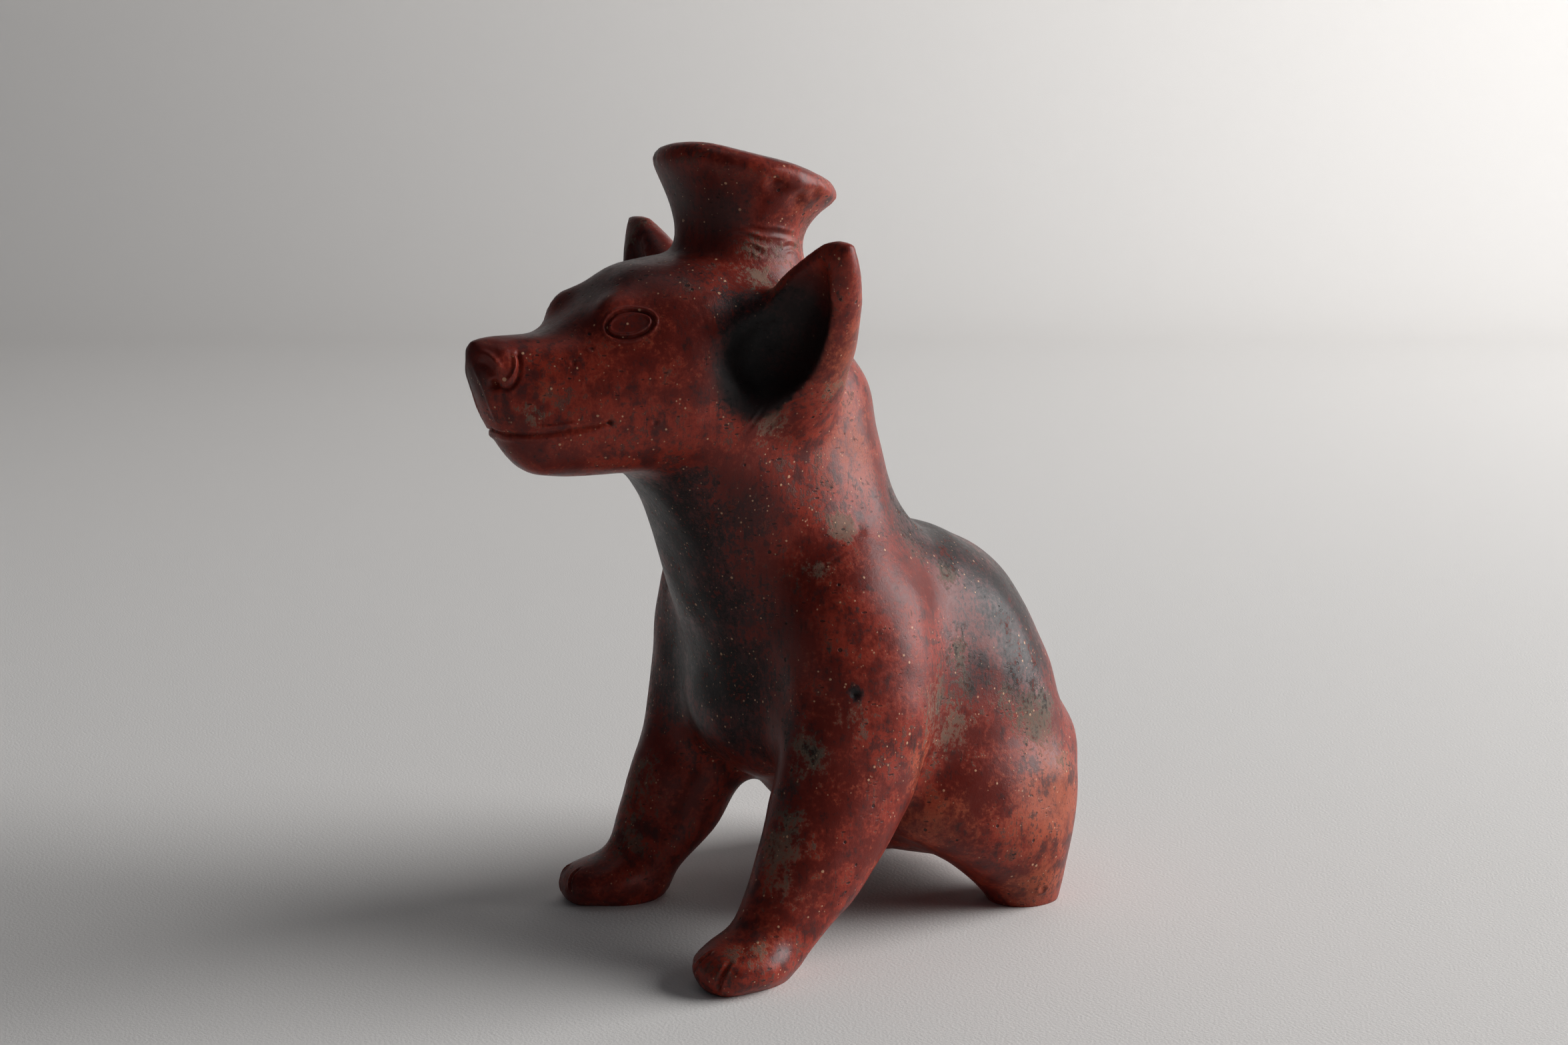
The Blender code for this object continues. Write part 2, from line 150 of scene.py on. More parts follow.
def thing_from(name: str, shape: bmesh.types.BMesh) -> Thing:
    """Makes an object of a bmesh, which is freed.

    Args:
        name: The object's name.
        shape: Its mesh.

    Returns:
        The object.
    """
    mesh = bpy.data.meshes.new(name)
    shape.to_mesh(mesh)
    shape.free()
    thing = bpy.data.objects.new(name, mesh)
    bpy.context.scene.collection.objects.link(thing)
    return thing


def skin(name: str, rings: Sequence[np.ndarray]) -> Thing:
    """Skins a row of rings and caps both ends.

    Args:
        name: The new object's name.
        rings: Rings with the same number of points.

    Returns:
        The closed form.
    """
    shape = bmesh.new()
    loops = [[shape.verts.new(point) for point in ring] for ring in rings]
    for near, far in zip(loops, loops[1:]):
        for i in range(len(near)):
            shape.faces.new((near[i - 1], near[i], far[i], far[i - 1]))
    shape.faces.new(loops[0])
    shape.faces.new(loops[-1])
    bmesh.ops.recalc_face_normals(shape, faces=shape.faces)
    return thing_from(name, shape)


def applied(thing: Thing) -> Thing:
    """Bakes an object's modifiers into its mesh."""
    graph = bpy.context.evaluated_depsgraph_get()
    mesh = bpy.data.meshes.new_from_object(thing.evaluated_get(graph))
    thing.modifiers.clear()
    thing.data = mesh
    return thing


def fused(name: str, things: Iterable[Thing], voxel: float) -> Thing:
    """Makes one even skin over things that overlap.

    Args:
        name: The new object's name.
        things: The things, which are used up.
        voxel: The size of the skin's faces.

    Returns:
        The new object.
    """
    shape = bmesh.new()
    for thing in things:
        shape.from_mesh(thing.data)
        bpy.data.objects.remove(thing)
    whole = thing_from(name, shape)
    remesh = whole.modifiers.new("one_skin", "REMESH")
    remesh.mode = "VOXEL"
    remesh.voxel_size = voxel
    return applied(whole)


def points_of(mesh: bpy.types.Mesh) -> np.ndarray:
    """The mesh's points, one to a row."""
    flat = np.empty(len(mesh.vertices) * 3)
    mesh.vertices.foreach_get("co", flat)
    return flat.reshape(-1, 3)


def normals_of(mesh: bpy.types.Mesh) -> np.ndarray:
    """The outward direction at each of the mesh's points."""
    flat = np.empty(len(mesh.vertices) * 3)
    mesh.vertices.foreach_get("normal", flat)
    return flat.reshape(-1, 3)


def place_points(mesh: bpy.types.Mesh, points: np.ndarray) -> None:
    """Moves the mesh's points to new places."""
    mesh.vertices.foreach_set("co", points.ravel())
    mesh.update()


class Net:
    """A mesh's points and their neighbours, so that the surface can be eased as wet clay is."""

    def __init__(self, mesh: bpy.types.Mesh) -> None:
        """Reads the mesh."""
        self.mesh = mesh
        self.points = points_of(mesh)
        flat = np.empty(len(mesh.edges) * 2, int)
        mesh.edges.foreach_get("vertices", flat)
        self.ends = flat.reshape(-1, 2).T
        self.neighbours = np.bincount(np.concatenate(self.ends), minlength=len(self.points))[:, None]

    def pull(self) -> np.ndarray:
        """The move that would put each point in the middle of its neighbours."""
        a, b = self.ends
        count = len(self.points)
        total = [
            np.bincount(a, self.points[b, k], count) + np.bincount(b, self.points[a, k], count)
            for k in range(3)
        ]
        return np.stack(total, 1) / self.neighbours - self.points

    def write(self) -> None:
        """Puts the points back into the mesh."""
        place_points(self.mesh, self.points)


def fill_creases(thing: Thing, reach: float, voxel: float, ease: float = 0.5) -> Thing:
    """Rounds the inner corners of an even skin, as wet clay is smoothed into a joint.

    Args:
        thing: The object.
        reach: About how wide the rounding is.
        voxel: The size of the skin's faces.
        ease: How far each round takes a point to the middle of its neighbours.

    Returns:
        The same object.
    """
    net = Net(thing.data)
    for _ in range(round((reach / voxel) ** 2)):
        move = net.pull()
        outward = (move * normals_of(thing.data)).sum(1) > 0
        net.points += ease * move * outward[:, None]
        net.write()
    return thing


def cut(thing: Thing, cutter: Thing) -> None:
    """Takes a cutter's shape out of an object, and uses the cutter up."""
    boolean = thing.modifiers.new(cutter.name, "BOOLEAN")
    boolean.operation = "DIFFERENCE"
    boolean.object = cutter
    applied(thing)
    bpy.data.objects.remove(cutter)


def smoothed(thing: Thing, rounds: int) -> Thing:
    """Softens every edge of an object a little."""
    smooth = thing.modifiers.new("soft_edges", "SMOOTH")
    smooth.iterations = rounds
    return applied(thing)


def middle_rings(sections: np.ndarray | Sequence[Row], step: float, power: float) -> list[np.ndarray]:
    """Makes rings across the plane of symmetry.

    Args:
        sections: Rows of y, z, the direction of the back in degrees, half width, and how far the ring
            reaches to back and belly.
        step: The distance between rings.
        power: How square the rings are.

    Returns:
        The rings.
    """
    rings = []
    for y, z, degrees, wide, back, belly in smooth_path(sections, step, 2):
        angle = math.radians(degrees)
        rise = (0, math.cos(angle), math.sin(angle))
        rings.append(oval((0, y, z), (1, 0, 0), rise, wide, back, belly, power))
    return rings


@dataclass(frozen=True)
class Swelling:
    """A round swelling of the clay.

    Attributes:
        centre: Its middle.
        size: Its half sizes along X, Y and Z.
        around: How many faces it has round its middle.
        down: How many it has from top to bottom.
    """

    centre: Place
    size: Place
    around: int = 24
    down: int = 16

    def form(self, side: Side = Side.LEFT) -> Thing:
        """The swelling on one side."""
        x, y, z = self.centre
        shape = bmesh.new()
        bmesh.ops.create_uvsphere(shape, u_segments=self.around, v_segments=self.down, radius=1)
        bmesh.ops.scale(shape, verts=shape.verts, vec=self.size)
        bmesh.ops.translate(shape, verts=shape.verts, vec=(side.value * x, y, z))
        return thing_from("swelling", shape)


@dataclass(frozen=True)
class Trunk:
    """The neck, chest, belly and rump, with the hollow inside them."""

    sections: tuple[Row, ...] = (
        (-0.040, 0.224, 0, 0.026, 0.027, 0.030),
        (-0.037, 0.206, 2, 0.035, 0.0450, 0.040),
        (-0.033, 0.180, 4, 0.038, 0.0500, 0.0485),
        (-0.026, 0.156, 8, 0.041, 0.0482, 0.0415),
        (-0.012, 0.130, 26, 0.047, 0.044, 0.046),
        (0.010, 0.104, 42, 0.052, 0.055, 0.058),
        (0.031, 0.080, 50, 0.056, 0.063, 0.061),
        (0.053, 0.058, 54, 0.057, 0.056, 0.050),
        (0.071, 0.044, 56, 0.054, 0.042, 0.038),
    )
    rump_dome: float = 0.030
    wall: float = 0.0065
    step: float = 0.004
    power: float = 2.2
    brisket: Swelling = Swelling((0.0, -0.0245, 0.0845), (0.040, 0.0275, 0.0320))
    tail: Swelling = Swelling((0.0, 0.0960, 0.056), (0.012, 0.017, 0.0105))

    def forms(self) -> list[Thing]:
        """The outside of the trunk, with brisket and tail."""
        rings = dome(middle_rings(self.sections, self.step, self.power), self.rump_dome)
        return [skin("trunk", rings), self.brisket.form(), self.tail.form()]

    def hollow(self) -> Thing:
        """The space inside the trunk."""
        inner = np.array(self.sections) - (0, 0, 0, self.wall, self.wall, self.wall)
        rings = dome(middle_rings(inner, self.step, self.power), self.rump_dome - self.wall)
        return skin("trunk_hollow", rings)


@dataclass(frozen=True)
class Head:
    """The head from nape to nose, with brows and the wings of the nose."""

    sections: tuple[Row, ...] = (
        (-0.020, 0.207, 90, 0.030, 0.020, 0.024),
        (-0.031, 0.207, 90, 0.038, 0.033, 0.032),
        (-0.045, 0.207, 90, 0.042, 0.038, 0.037),
        (-0.070, 0.206, 90, 0.039, 0.0403, 0.0355),
        (-0.088, 0.205, 90, 0.033, 0.0368, 0.0335),
        (-0.102, 0.203, 90, 0.027, 0.027, 0.0305),
        (-0.113, 0.201, 90, 0.022, 0.022, 0.0285),
        (-0.124, 0.202, 90, 0.0165, 0.0195, 0.0270),
        (-0.1335, 0.206, 90, 0.0110, 0.0155, 0.0195),
        (-0.142, 0.212, 90, 0.006, 0.0095, 0.0060),
    )
    nose_dome: float = 0.003
    nape_dome: float = 0.005
    hollow_from: int = 2
    hollow_to: int = 6
    wall: float = 0.018
    step: float = 0.004
    power: float = 2.5
    brow: Swelling = Swelling((0.0165, -0.0885, 0.2258), (0.0085, 0.0165, 0.0115))
    nose_wing: Swelling = Swelling((0.0062, -0.1335, 0.2120), (0.0062, 0.0062, 0.0085))

    def forms(self) -> list[Thing]:
        """The outside of the head, with its brows."""
        rings = dome(middle_rings(self.sections, self.step, self.power), self.nose_dome)
        rings = dome(rings[::-1], self.nape_dome)
        return [skin("head", rings)] + [self.brow.form(side) for side in Side]

    def nose_wings(self) -> list[Thing]:
        """The two wings of the nose."""
        return [self.nose_wing.form(side) for side in Side]

    def hollow(self) -> Thing:
        """The space inside the head."""
        rows = np.array(self.sections[self.hollow_from : self.hollow_to])
        inner = rows - (0, 0, 0, self.wall, self.wall, self.wall)
        return skin("head_hollow", dome(middle_rings(inner, self.step, self.power), self.nose_dome))


@dataclass(frozen=True)
class Spout:
    """The flared spout on the head, whose sections are rows of y, z, tip in degrees and radius."""

    sections: tuple[Row, ...] = (
        (-0.0400, 0.2260, 0, 0.0350),
        (-0.0380, 0.2400, 0, 0.0262),
        (-0.0365, 0.2510, 4, 0.0226),
        (-0.0358, 0.2610, 10, 0.0252),
        (-0.0345, 0.2688, 12.5, 0.0305),
        (-0.0336, 0.2726, 15, 0.0338),
        (-0.0330, 0.2766, 15, 0.0321),
    )
    bore: tuple[Row, ...] = (
        (-0.0380, 0.2120, 0, 0.0190),
        (-0.0380, 0.2350, 0, 0.0175),
        (-0.0367, 0.2510, 4, 0.0160),
        (-0.0355, 0.2620, 9, 0.0185),
        (-0.0342, 0.2730, 15, 0.0235),
        (-0.0315, 0.2870, 15, 0.0275),
    )
    lip_dome: float = 0.004
    step: float = 0.002

    def rings(self, sections: tuple[Row, ...]) -> list[np.ndarray]:
        """Rings of a round form that tips back as it rises.

        Args:
            sections: Rows of y, z, tip in degrees and radius.

        Returns:
            The rings.
        """
        rings = []
        for y, z, degrees, radius in smooth_path(sections, self.step, 2):
            angle = math.radians(degrees)
            rise = (0, math.cos(angle), -math.sin(angle))
            rings.append(oval((0, y, z), (1, 0, 0), rise, radius, radius))
        return rings

    def form(self) -> Thing:
        """The outside of the spout."""
        return skin("spout", dome(self.rings(self.sections), self.lip_dome))

    def bore_form(self) -> Thing:
        """The bore, which runs out past the lip."""
        return skin("bore", self.rings(self.bore))


@dataclass(frozen=True)
class Leg:
    """A leg, whose level sections are rows of x, y, z, half width across and half width along."""

    sections: tuple[Row, ...]
    step: float = 0.004
    stride_top: float = 0.10

    def form(self, side: Side, stride: tuple[float, float] = (0.0, 0.0)) -> Thing:
        """The leg on one side.

        Args:
            side: The side it is on.
            stride: How far out and ahead its foot is set, which fades out up the leg.

        Returns:
            The leg.
        """
        rings = []
        for x, y, z, across, along in smooth_path(self.sections, self.step, 3):
            out, ahead = np.array(stride) * max(0.0, 1 - z / self.stride_top)
            rings.append(oval((side.value * (x + out), y - ahead, z), (1, 0, 0), (0, 1, 0), across, along))
        return skin("leg", rings)


@dataclass(frozen=True)
class Forepaw:
    """A forepaw from heel to toe, as rows of distance ahead, half width and height over its middle."""

    sections: tuple[Row, ...] = (
        (0.001, 0.0095, 0.007),
        (0.012, 0.0145, 0.011),
        (0.023, 0.0165, 0.0095),
        (0.032, 0.0140, 0.0065),
    )
    step: float = 0.003
    heel: tuple[float, float] = (0.054, -0.048)
    turn: float = 12
    middle: float = 0.008
    depth: float = 0.0095
    heel_dome: float = 0.006
    toe_dome: float = 0.008

    def form(self, side: Side, stride: tuple[float, float]) -> Thing:
        """The paw on one side, set out and ahead by its leg's stride."""
        angle = math.radians(self.turn)
        out, forward = stride
        ahead = np.array([side.value * math.sin(angle), -math.cos(angle), 0])
        across = np.array([-ahead[1], ahead[0], 0])
        heel = np.array([side.value * (self.heel[0] + out), self.heel[1] - forward, self.middle])
        rings = [
            oval(heel + ahead * along, across, (0, 0, 1), wide, high, self.depth)
            for along, wide, high in smooth_path(self.sections, self.step, 1)
        ]
        return skin("paw", dome(dome(rings, self.toe_dome)[::-1], self.heel_dome))


@dataclass(frozen=True)
class Ear:
    """A pointed ear and the deep hollow in its front.

    Attributes:
        sections: Level rows of x, y, z, half length, half thickness and turn outward in degrees.
        hollow: Rows of x, y, z and radius along the hollow, from tip to cheek.
        right_hollow_share: How wide the right ear's hollow is for one of the left.
        right_hollow_inward: How much nearer the middle the right ear's hollow lies.
        right_base_shift: How far out, back and up the right ear's base is from the left one's mirror image.
        right_tip_shift: The same at its tip.
    """

    sections: tuple[Row, ...] = (
        (0.016, -0.035, 0.166, 0.010, 0.012, 10),
        (0.024, -0.036, 0.186, 0.018, 0.017, 10),
        (0.032, -0.037, 0.202, 0.022, 0.019, 10),
        (0.041, -0.038, 0.218, 0.023, 0.017, 10),
        (0.050, -0.039, 0.232, 0.0203, 0.0125, 8),
        (0.060, -0.040, 0.244, 0.0150, 0.008, 4),
        (0.0685, -0.041, 0.2525, 0.0078, 0.004, 0),
    )
    hollow: tuple[Row, ...] = (
        (0.0655, -0.0475, 0.2450, 0.0035),
        (0.0615, -0.0490, 0.2370, 0.0090),
        (0.0555, -0.0520, 0.2270, 0.0135),
        (0.0490, -0.0555, 0.2155, 0.0155),
        (0.0460, -0.0580, 0.2055, 0.0130),
        (0.0450, -0.0585, 0.1970, 0.0075),
    )
    tip_dome: float = 0.002
    hollow_tip_dome: float = 0.002
    hollow_cheek_dome: float = 0.004
    step: float = 0.004
    right_hollow_share: float = 0.7
    right_hollow_inward: float = 0.008
    right_base_shift: Place = (0.010, -0.005, 0.002)
    right_tip_shift: Place = (-0.002, 0.003, 0.005)

    def placed(self, rows: np.ndarray, side: Side) -> np.ndarray:
        """Moves rows that start with a place on the left ear to the ear on one side."""
        if side is Side.LEFT:
            return rows
        base, tip = self.sections[1][2], self.sections[-1][2]
        up = np.clip((rows[:, 2:3] - base) / (tip - base), 0, 1)
        moved = rows.copy()
        moved[:, :3] += np.array(self.right_base_shift) * (1 - up) + np.array(self.right_tip_shift) * up
        moved[:, 0] *= -1
        return moved

    def form(self, side: Side) -> Thing:
        """The outside of the ear."""
        rings = []
        for x, y, z, long, thick, turn in self.placed(smooth_path(self.sections, self.step, 3), side):
            angle = math.radians(turn)
            across = (side.value * math.cos(angle), math.sin(angle), 0)
            rise = (-side.value * math.sin(angle), math.cos(angle), 0)
            rings.append(oval((x, y, z), across, rise, long, thick))
        return skin("ear", dome(rings, self.tip_dome))

    def hollow_path(self, side: Side, step: float) -> np.ndarray:
        """Places and radii along the hollow of the ear on one side, a step apart."""
        path = self.placed(smooth_path(self.hollow, step, 3), side)
        if side is Side.RIGHT:
            path[:, 0] += self.right_hollow_inward
            path[:, 3] *= self.right_hollow_share
        return path

    def hollow_form(self, side: Side) -> Thing:
        """The ear's hollow, as a cutter."""
        path = self.hollow_path(side, self.step)
        rings = []
        for i, (*centre, radius) in enumerate(path):
            ahead = (path[min(i + 1, len(path) - 1)] - path[max(i - 1, 0)])[:3]
            across = np.cross(ahead, (1.0, 0.0, 0.0))
            across /= np.linalg.norm(across)
            rise = np.cross(across, ahead)
            rise /= np.linalg.norm(rise)
            rings.append(oval(centre, across, rise, radius, radius))
        return skin("ear_hollow", dome(dome(rings, self.hollow_cheek_dome)[::-1], self.hollow_tip_dome))


RIDGE_AWAY = 1.9
RIDGE_SHARPNESS = 2.2
GROOVE_SHARPNESS = 1.4
STROKE_REACH = 4
HOLE_REACH = 3
LEAST_STRENGTH = 0.15


@dataclass(frozen=True)
class Stroke:
    """A line drawn or raised in the damp clay.

    Attributes:
        points: Places near the surface that it passes.
        width: Half its width.
        rise: How high it stands, or how deep it is cut if less than 0.
        ridge: How high the clay is pushed up beside it.
        end_hole: The radius of a hole pressed at its end, or 0 for none.
        end_depth: How deep that hole is.
        taper: The share of its length over which it fades in and out.
        darkened: How much darker the slip is painted along it.
    """

    points: tuple[Place, ...]
    width: float
    rise: float
    ridge: float = 0.0
    end_hole: float = 0.0
    end_depth: float = 0.0
    taper: float = 0.12
    darkened: float = 0.0

    def line(self, clay: Thing, side: Side, step: float = 0.0004) -> np.ndarray:
        """Lays the line on the clay.

        Args:
            clay: The object that it is drawn on.
            side: The side of the dog that it is on.
            step: The distance between the points wanted.

        Returns:
            Points on the surface, one to a row.
        """
        path = smooth_path(np.array(self.points) * (side.value, 1, 1), step, 3)
        return np.array([clay.closest_point_on_mesh(Vector(point))[1] for point in path])

    def strength(self, share: np.ndarray) -> np.ndarray:
        """How strong the line is at each share of its length."""
        if not self.taper:
            return np.ones(len(share))
        return np.clip(np.minimum(share, 1 - share) / self.taper + LEAST_STRENGTH, 0, 1)

    def profile(self, distance: np.ndarray) -> np.ndarray:
        """How far the surface moves out at each distance from the line."""
        across = distance / self.width
        ridge = self.ridge * np.exp(-((across - RIDGE_AWAY) ** 2) * RIDGE_SHARPNESS)
        return ridge + self.rise * np.exp(-(across**2) * GROOVE_SHARPNESS)

    def hole_profile(self, distance: np.ndarray) -> np.ndarray:
        """How far the surface moves out at each distance from the middle of the end hole."""
        return -self.end_depth * np.exp(-((distance / self.end_hole) ** 2) * GROOVE_SHARPNESS)


@dataclass(frozen=True)
class Eye:
    """The incised ring that makes a disc of an eye."""

    centre: Place = (0.0256, -0.0960, 0.2258)
    along: Place = (0.35, 0.93, 0.14)
    half_sizes: tuple[float, float] = (0.0081, 0.0047)
    points: int = 33
    width: float = 0.00062
    depth: float = 0.0012
    ridge: float = 0.00045

    def ring(self, clay: Thing) -> Stroke:
        """The ring, as a closed line round the left eye."""
        centre = np.array(self.centre)
        out = np.array(clay.closest_point_on_mesh(Vector(centre))[2])
        along = np.array(self.along)
        along -= out * (along @ out)
        along /= np.linalg.norm(along)
        up = np.cross(out, along)
        wide, high = self.half_sizes
        turns = np.linspace(0, 2 * math.pi, self.points)
        ring = [
            tuple(centre + along * wide * math.cos(turn) + up * high * math.sin(turn)) for turn in turns
        ]
        return Stroke(tuple(ring), self.width, -self.depth, self.ridge, taper=0.0, darkened=0.8)


@dataclass(frozen=True)
class Face:
    """The lines of the face on the left, which are mirrored on the right."""

    mouth: Stroke = Stroke(
        (
            (-0.0010, -0.1352, 0.1900),
            (0.0040, -0.1340, 0.1896),
            (0.0085, -0.1314, 0.1895),
            (0.0132, -0.1264, 0.1893),
            (0.0166, -0.1207, 0.1898),
            (0.0195, -0.1147, 0.1910),
            (0.0247, -0.1036, 0.1929),
        ),
        width=0.0005,
        rise=-0.0008,
        end_hole=0.0009,
        end_depth=0.0011,
        taper=0.0,
        darkened=0.55,
    )
    lower_lip: Stroke = Stroke(
        (
            (0.0010, -0.1340, 0.1876),
            (0.0085, -0.1306, 0.1878),
            (0.0132, -0.1256, 0.1877),
            (0.0166, -0.1199, 0.1882),
            (0.0200, -0.1130, 0.1890),
            (0.0240, -0.1040, 0.1912),
        ),
        width=0.0013,
        rise=0.0006,
    )
    upper_lip: Stroke = Stroke(
        ((0.0130, -0.1255, 0.1918), (0.0165, -0.1195, 0.1922), (0.0200, -0.1130, 0.1932)),
        width=0.0006,
        rise=0.0003,
    )
    nostril: Stroke = Stroke(
        (
            (0.0098, -0.1300, 0.2166),
            (0.0113, -0.1299, 0.2130),
            (0.0117, -0.1305, 0.2095),
            (0.0109, -0.1321, 0.2060),
            (0.0093, -0.1343, 0.2046),
            (0.0076, -0.1373, 0.2062),
        ),
        width=0.0006,
        rise=-0.0013,
        end_hole=0.0017,
        end_depth=0.0028,
        taper=0.08,
        darkened=0.85,
    )
    wing: Stroke = Stroke(
        (
            (0.0108, -0.1318, 0.2164),
            (0.0118, -0.1318, 0.2130),
            (0.0118, -0.1330, 0.2096),
            (0.0106, -0.1347, 0.2072),
        ),
        width=0.0006,
        rise=0.0010,
    )
    nose_fold: Stroke = Stroke(
        (
            (0.0042, -0.1414, 0.2172),
            (0.0068, -0.1398, 0.2164),
            (0.0090, -0.1378, 0.2142),
            (0.0109, -0.1356, 0.2100),
        ),
        width=0.0013,
        rise=0.0010,
        taper=0.5,
    )
    under_fold: Stroke = Stroke(
        ((0.0042, -0.1418, 0.2138), (0.0070, -0.1395, 0.2120), (0.0084, -0.1375, 0.2090)),
        width=0.0019,
        rise=-0.0012,
        taper=0.3,
    )
    keel: Stroke = Stroke(
        (
            (0.0020, -0.1430, 0.2135),
            (0.0048, -0.1409, 0.2067),
            (0.0052, -0.1381, 0.1996),
            (0.0048, -0.1351, 0.1920),
        ),
        width=0.0010,
        rise=0.0005,
        taper=0.3,
    )
    eye: Eye = Eye()

    def strokes(self, clay: Thing) -> list[Stroke]:
        """Every line of the left half of the face."""
        return [
            self.mouth,
            self.lower_lip,
            self.upper_lip,
            self.nostril,
            self.wing,
            self.nose_fold,
            self.under_fold,
            self.keel,
            self.eye.ring(clay),
        ]


@dataclass(frozen=True)
class Toes:
    """The cuts between the toes of the left forepaw, without its stride."""

    cuts: tuple[tuple[Place, ...], ...] = (
        ((0.0672, -0.0800, 0.0125), (0.0672, -0.0830, 0.0075), (0.0660, -0.0845, 0.0025)),
        ((0.0575, -0.0815, 0.0150), (0.0570, -0.0850, 0.0110), (0.0545, -0.0868, 0.0065)),
    )
    widths: tuple[float, ...] = (0.0009, 0.0006)
    depths: tuple[float, ...] = (0.0018, 0.0008)
    ridge: float = 0.0003

    def strokes(self, stride: tuple[float, float]) -> list[Stroke]:
        """The cuts, moved by the paw's stride."""
        out, ahead = stride
        return [
            Stroke(
                tuple((x + out, y - ahead, z) for x, y, z in points),
                width,
                -depth,
                self.ridge,
                taper=0.25,
                darkened=0.8,
            )
            for points, width, depth in zip(self.cuts, self.widths, self.depths)
        ]


@dataclass(frozen=True)
class Wear:
    """Marks of making and age that only the left side shows."""

    scratches: tuple[tuple[Place, ...], ...] = (
        ((0.0369, -0.0585, 0.1870), (0.0385, -0.0550, 0.1915), (0.0406, -0.0515, 0.1965)),
        ((0.0375, -0.0515, 0.1862), (0.0408, -0.0485, 0.1905), (0.0440, -0.0462, 0.1945)),
        ((0.0461, -0.0470, 0.1970), (0.0485, -0.0445, 0.1985), (0.0512, -0.0420, 0.2002)),
        ((0.0465, -0.0344, 0.1388), (0.0478, -0.0290, 0.1412), (0.0486, -0.0237, 0.1434)),
    )
    wrinkles: tuple[tuple[Place, ...], ...] = (
        (
            (0.0205, -0.0470, 0.2568),
            (0.0225, -0.0415, 0.2550),
            (0.0229, -0.0370, 0.2548),
            (0.0210, -0.0264, 0.2530),
        ),
        (
            (0.0181, -0.0500, 0.2536),
            (0.0203, -0.0460, 0.2534),
            (0.0220, -0.0416, 0.2518),
            (0.0228, -0.0352, 0.2506),
        ),
        ((0.0228, -0.0350, 0.2484), (0.0214, -0.0287, 0.2496), (0.0190, -0.0230, 0.2478)),
        ((0.0215, -0.0450, 0.2494), (0.0226, -0.0400, 0.2470)),
    )
    wrinkle_width: float = 0.0009
    wrinkle_depth: float = 0.00034
    width: float = 0.0007
    depth: float = 0.00025
    ridge: float = 0.0002

    def strokes(self) -> list[Stroke]:
        """The scratches, and the wrinkles round the spout's neck."""
        scratches = [
            Stroke(points, self.width, -self.depth, self.ridge, taper=0.4, darkened=0.25)
            for points in self.scratches
        ]
        return scratches + [
            Stroke(
                points, self.wrinkle_width, -self.wrinkle_depth, self.wrinkle_depth, taper=0.4, darkened=0.2
            )
            for points in self.wrinkles
        ]


@dataclass(frozen=True)
class Thumbed:
    """A place where the clay was rubbed smooth, in the form of a ball."""

    centre: Place
    radius: float
    rounds: int
    both_sides: bool = True


THUMBED: tuple[Thumbed, ...] = (
    Thumbed((0.0360, -0.0690, 0.2200), 0.0170, 70),
    Thumbed((0.0380, -0.0680, 0.2060), 0.0150, 70),
    Thumbed((0.0390, -0.0640, 0.1970), 0.0130, 80),
    Thumbed((0.0440, -0.0620, 0.1930), 0.0090, 50),
    Thumbed((0.0330, -0.0570, 0.2330), 0.0120, 40),
    Thumbed((0.0310, -0.0500, 0.2120), 0.0100, 30),
    Thumbed((0.0400, 0.0120, 0.1350), 0.0300, 60),
    Thumbed((0.0480, 0.0160, 0.1000), 0.0260, 50),
    Thumbed((0.0300, -0.0380, 0.1000), 0.0220, 40),
    Thumbed((0.0300, -0.0300, 0.1500), 0.0200, 30),
    Thumbed((0.0310, -0.0400, 0.0750), 0.0240, 60),
    Thumbed((0.0000, -0.0500, 0.0980), 0.0260, 60),
    Thumbed((0.0000, -0.0080, 0.2270), 0.0200, 90),
    Thumbed((0.0180, -0.0130, 0.2270), 0.0180, 90),
    Thumbed((0.0300, -0.0240, 0.2270), 0.0140, 70),
    Thumbed((0.0420, -0.0230, 0.2120), 0.0130, 50),
)


def rub(dog: Thing, places: Iterable[Thumbed], ease: float = 0.6, fade: float = 1.5) -> None:
    """Smooths the clay at some places, fading out round each.

    Args:
        dog: The object.
        places: The places.
        ease: How far each round takes a point to the middle of its neighbours.
        fade: How steeply the smoothing fades out.
    """
    net = Net(dog.data)
    for place in places:
        near = net.points.copy()
        if place.both_sides:
            near[:, 0] = np.abs(near[:, 0])
        away = np.linalg.norm(near - place.centre, axis=1) / place.radius
        soft = np.clip(fade - fade * away, 0, 1)[:, None]
        for _ in range(place.rounds):
            net.points += ease * soft * net.pull()
    net.write()


@dataclass(frozen=True)
class Patch:
    """A patch of colour that fades out from its middle.

    Attributes:
        centre: Its middle, in millimetres.
        reach: How far it spreads along X, Y and Z, in millimetres.
        strength: How strong it is in the middle.
        both_sides: Whether it is found on the other side of the dog too.
    """

    centre: Place
    reach: Place
    strength: float
    both_sides: bool = True

    def over(self, points: np.ndarray) -> np.ndarray:
        """How strong the patch is at each point, which is in metres."""
        near = points * 1000
        if self.both_sides and self.centre[0] > 0:
            near[:, 0] = np.abs(near[:, 0])
        away = ((near - self.centre) / self.reach) ** 2
        return self.strength * np.exp(-away.sum(1))


class StainAndShade(Enum):
    """What lies on the slip or has changed it, and the shade painted on it, with the name of its layer in
    the mesh.
    """

    # Fire-clouds of the firing, with a painted shadow under the back of the jaw.
    SOOT_AND_SHADE = "soot_and_shade"
    DUST = "dust"
    WARMTH = "warmth"
    # Mostly painted shade, with a darker disc of the eye.
    SHADE_AND_DARK_SLIP = "shade_and_dark_slip"
    # Ear hollows painted black, partly soot and partly painted shade deep in the hollow.
    EAR_SOOT_AND_SHADE = "hollow"
    # Darker along the incised lines and in the holes at their ends.
    GROOVE = "groove"


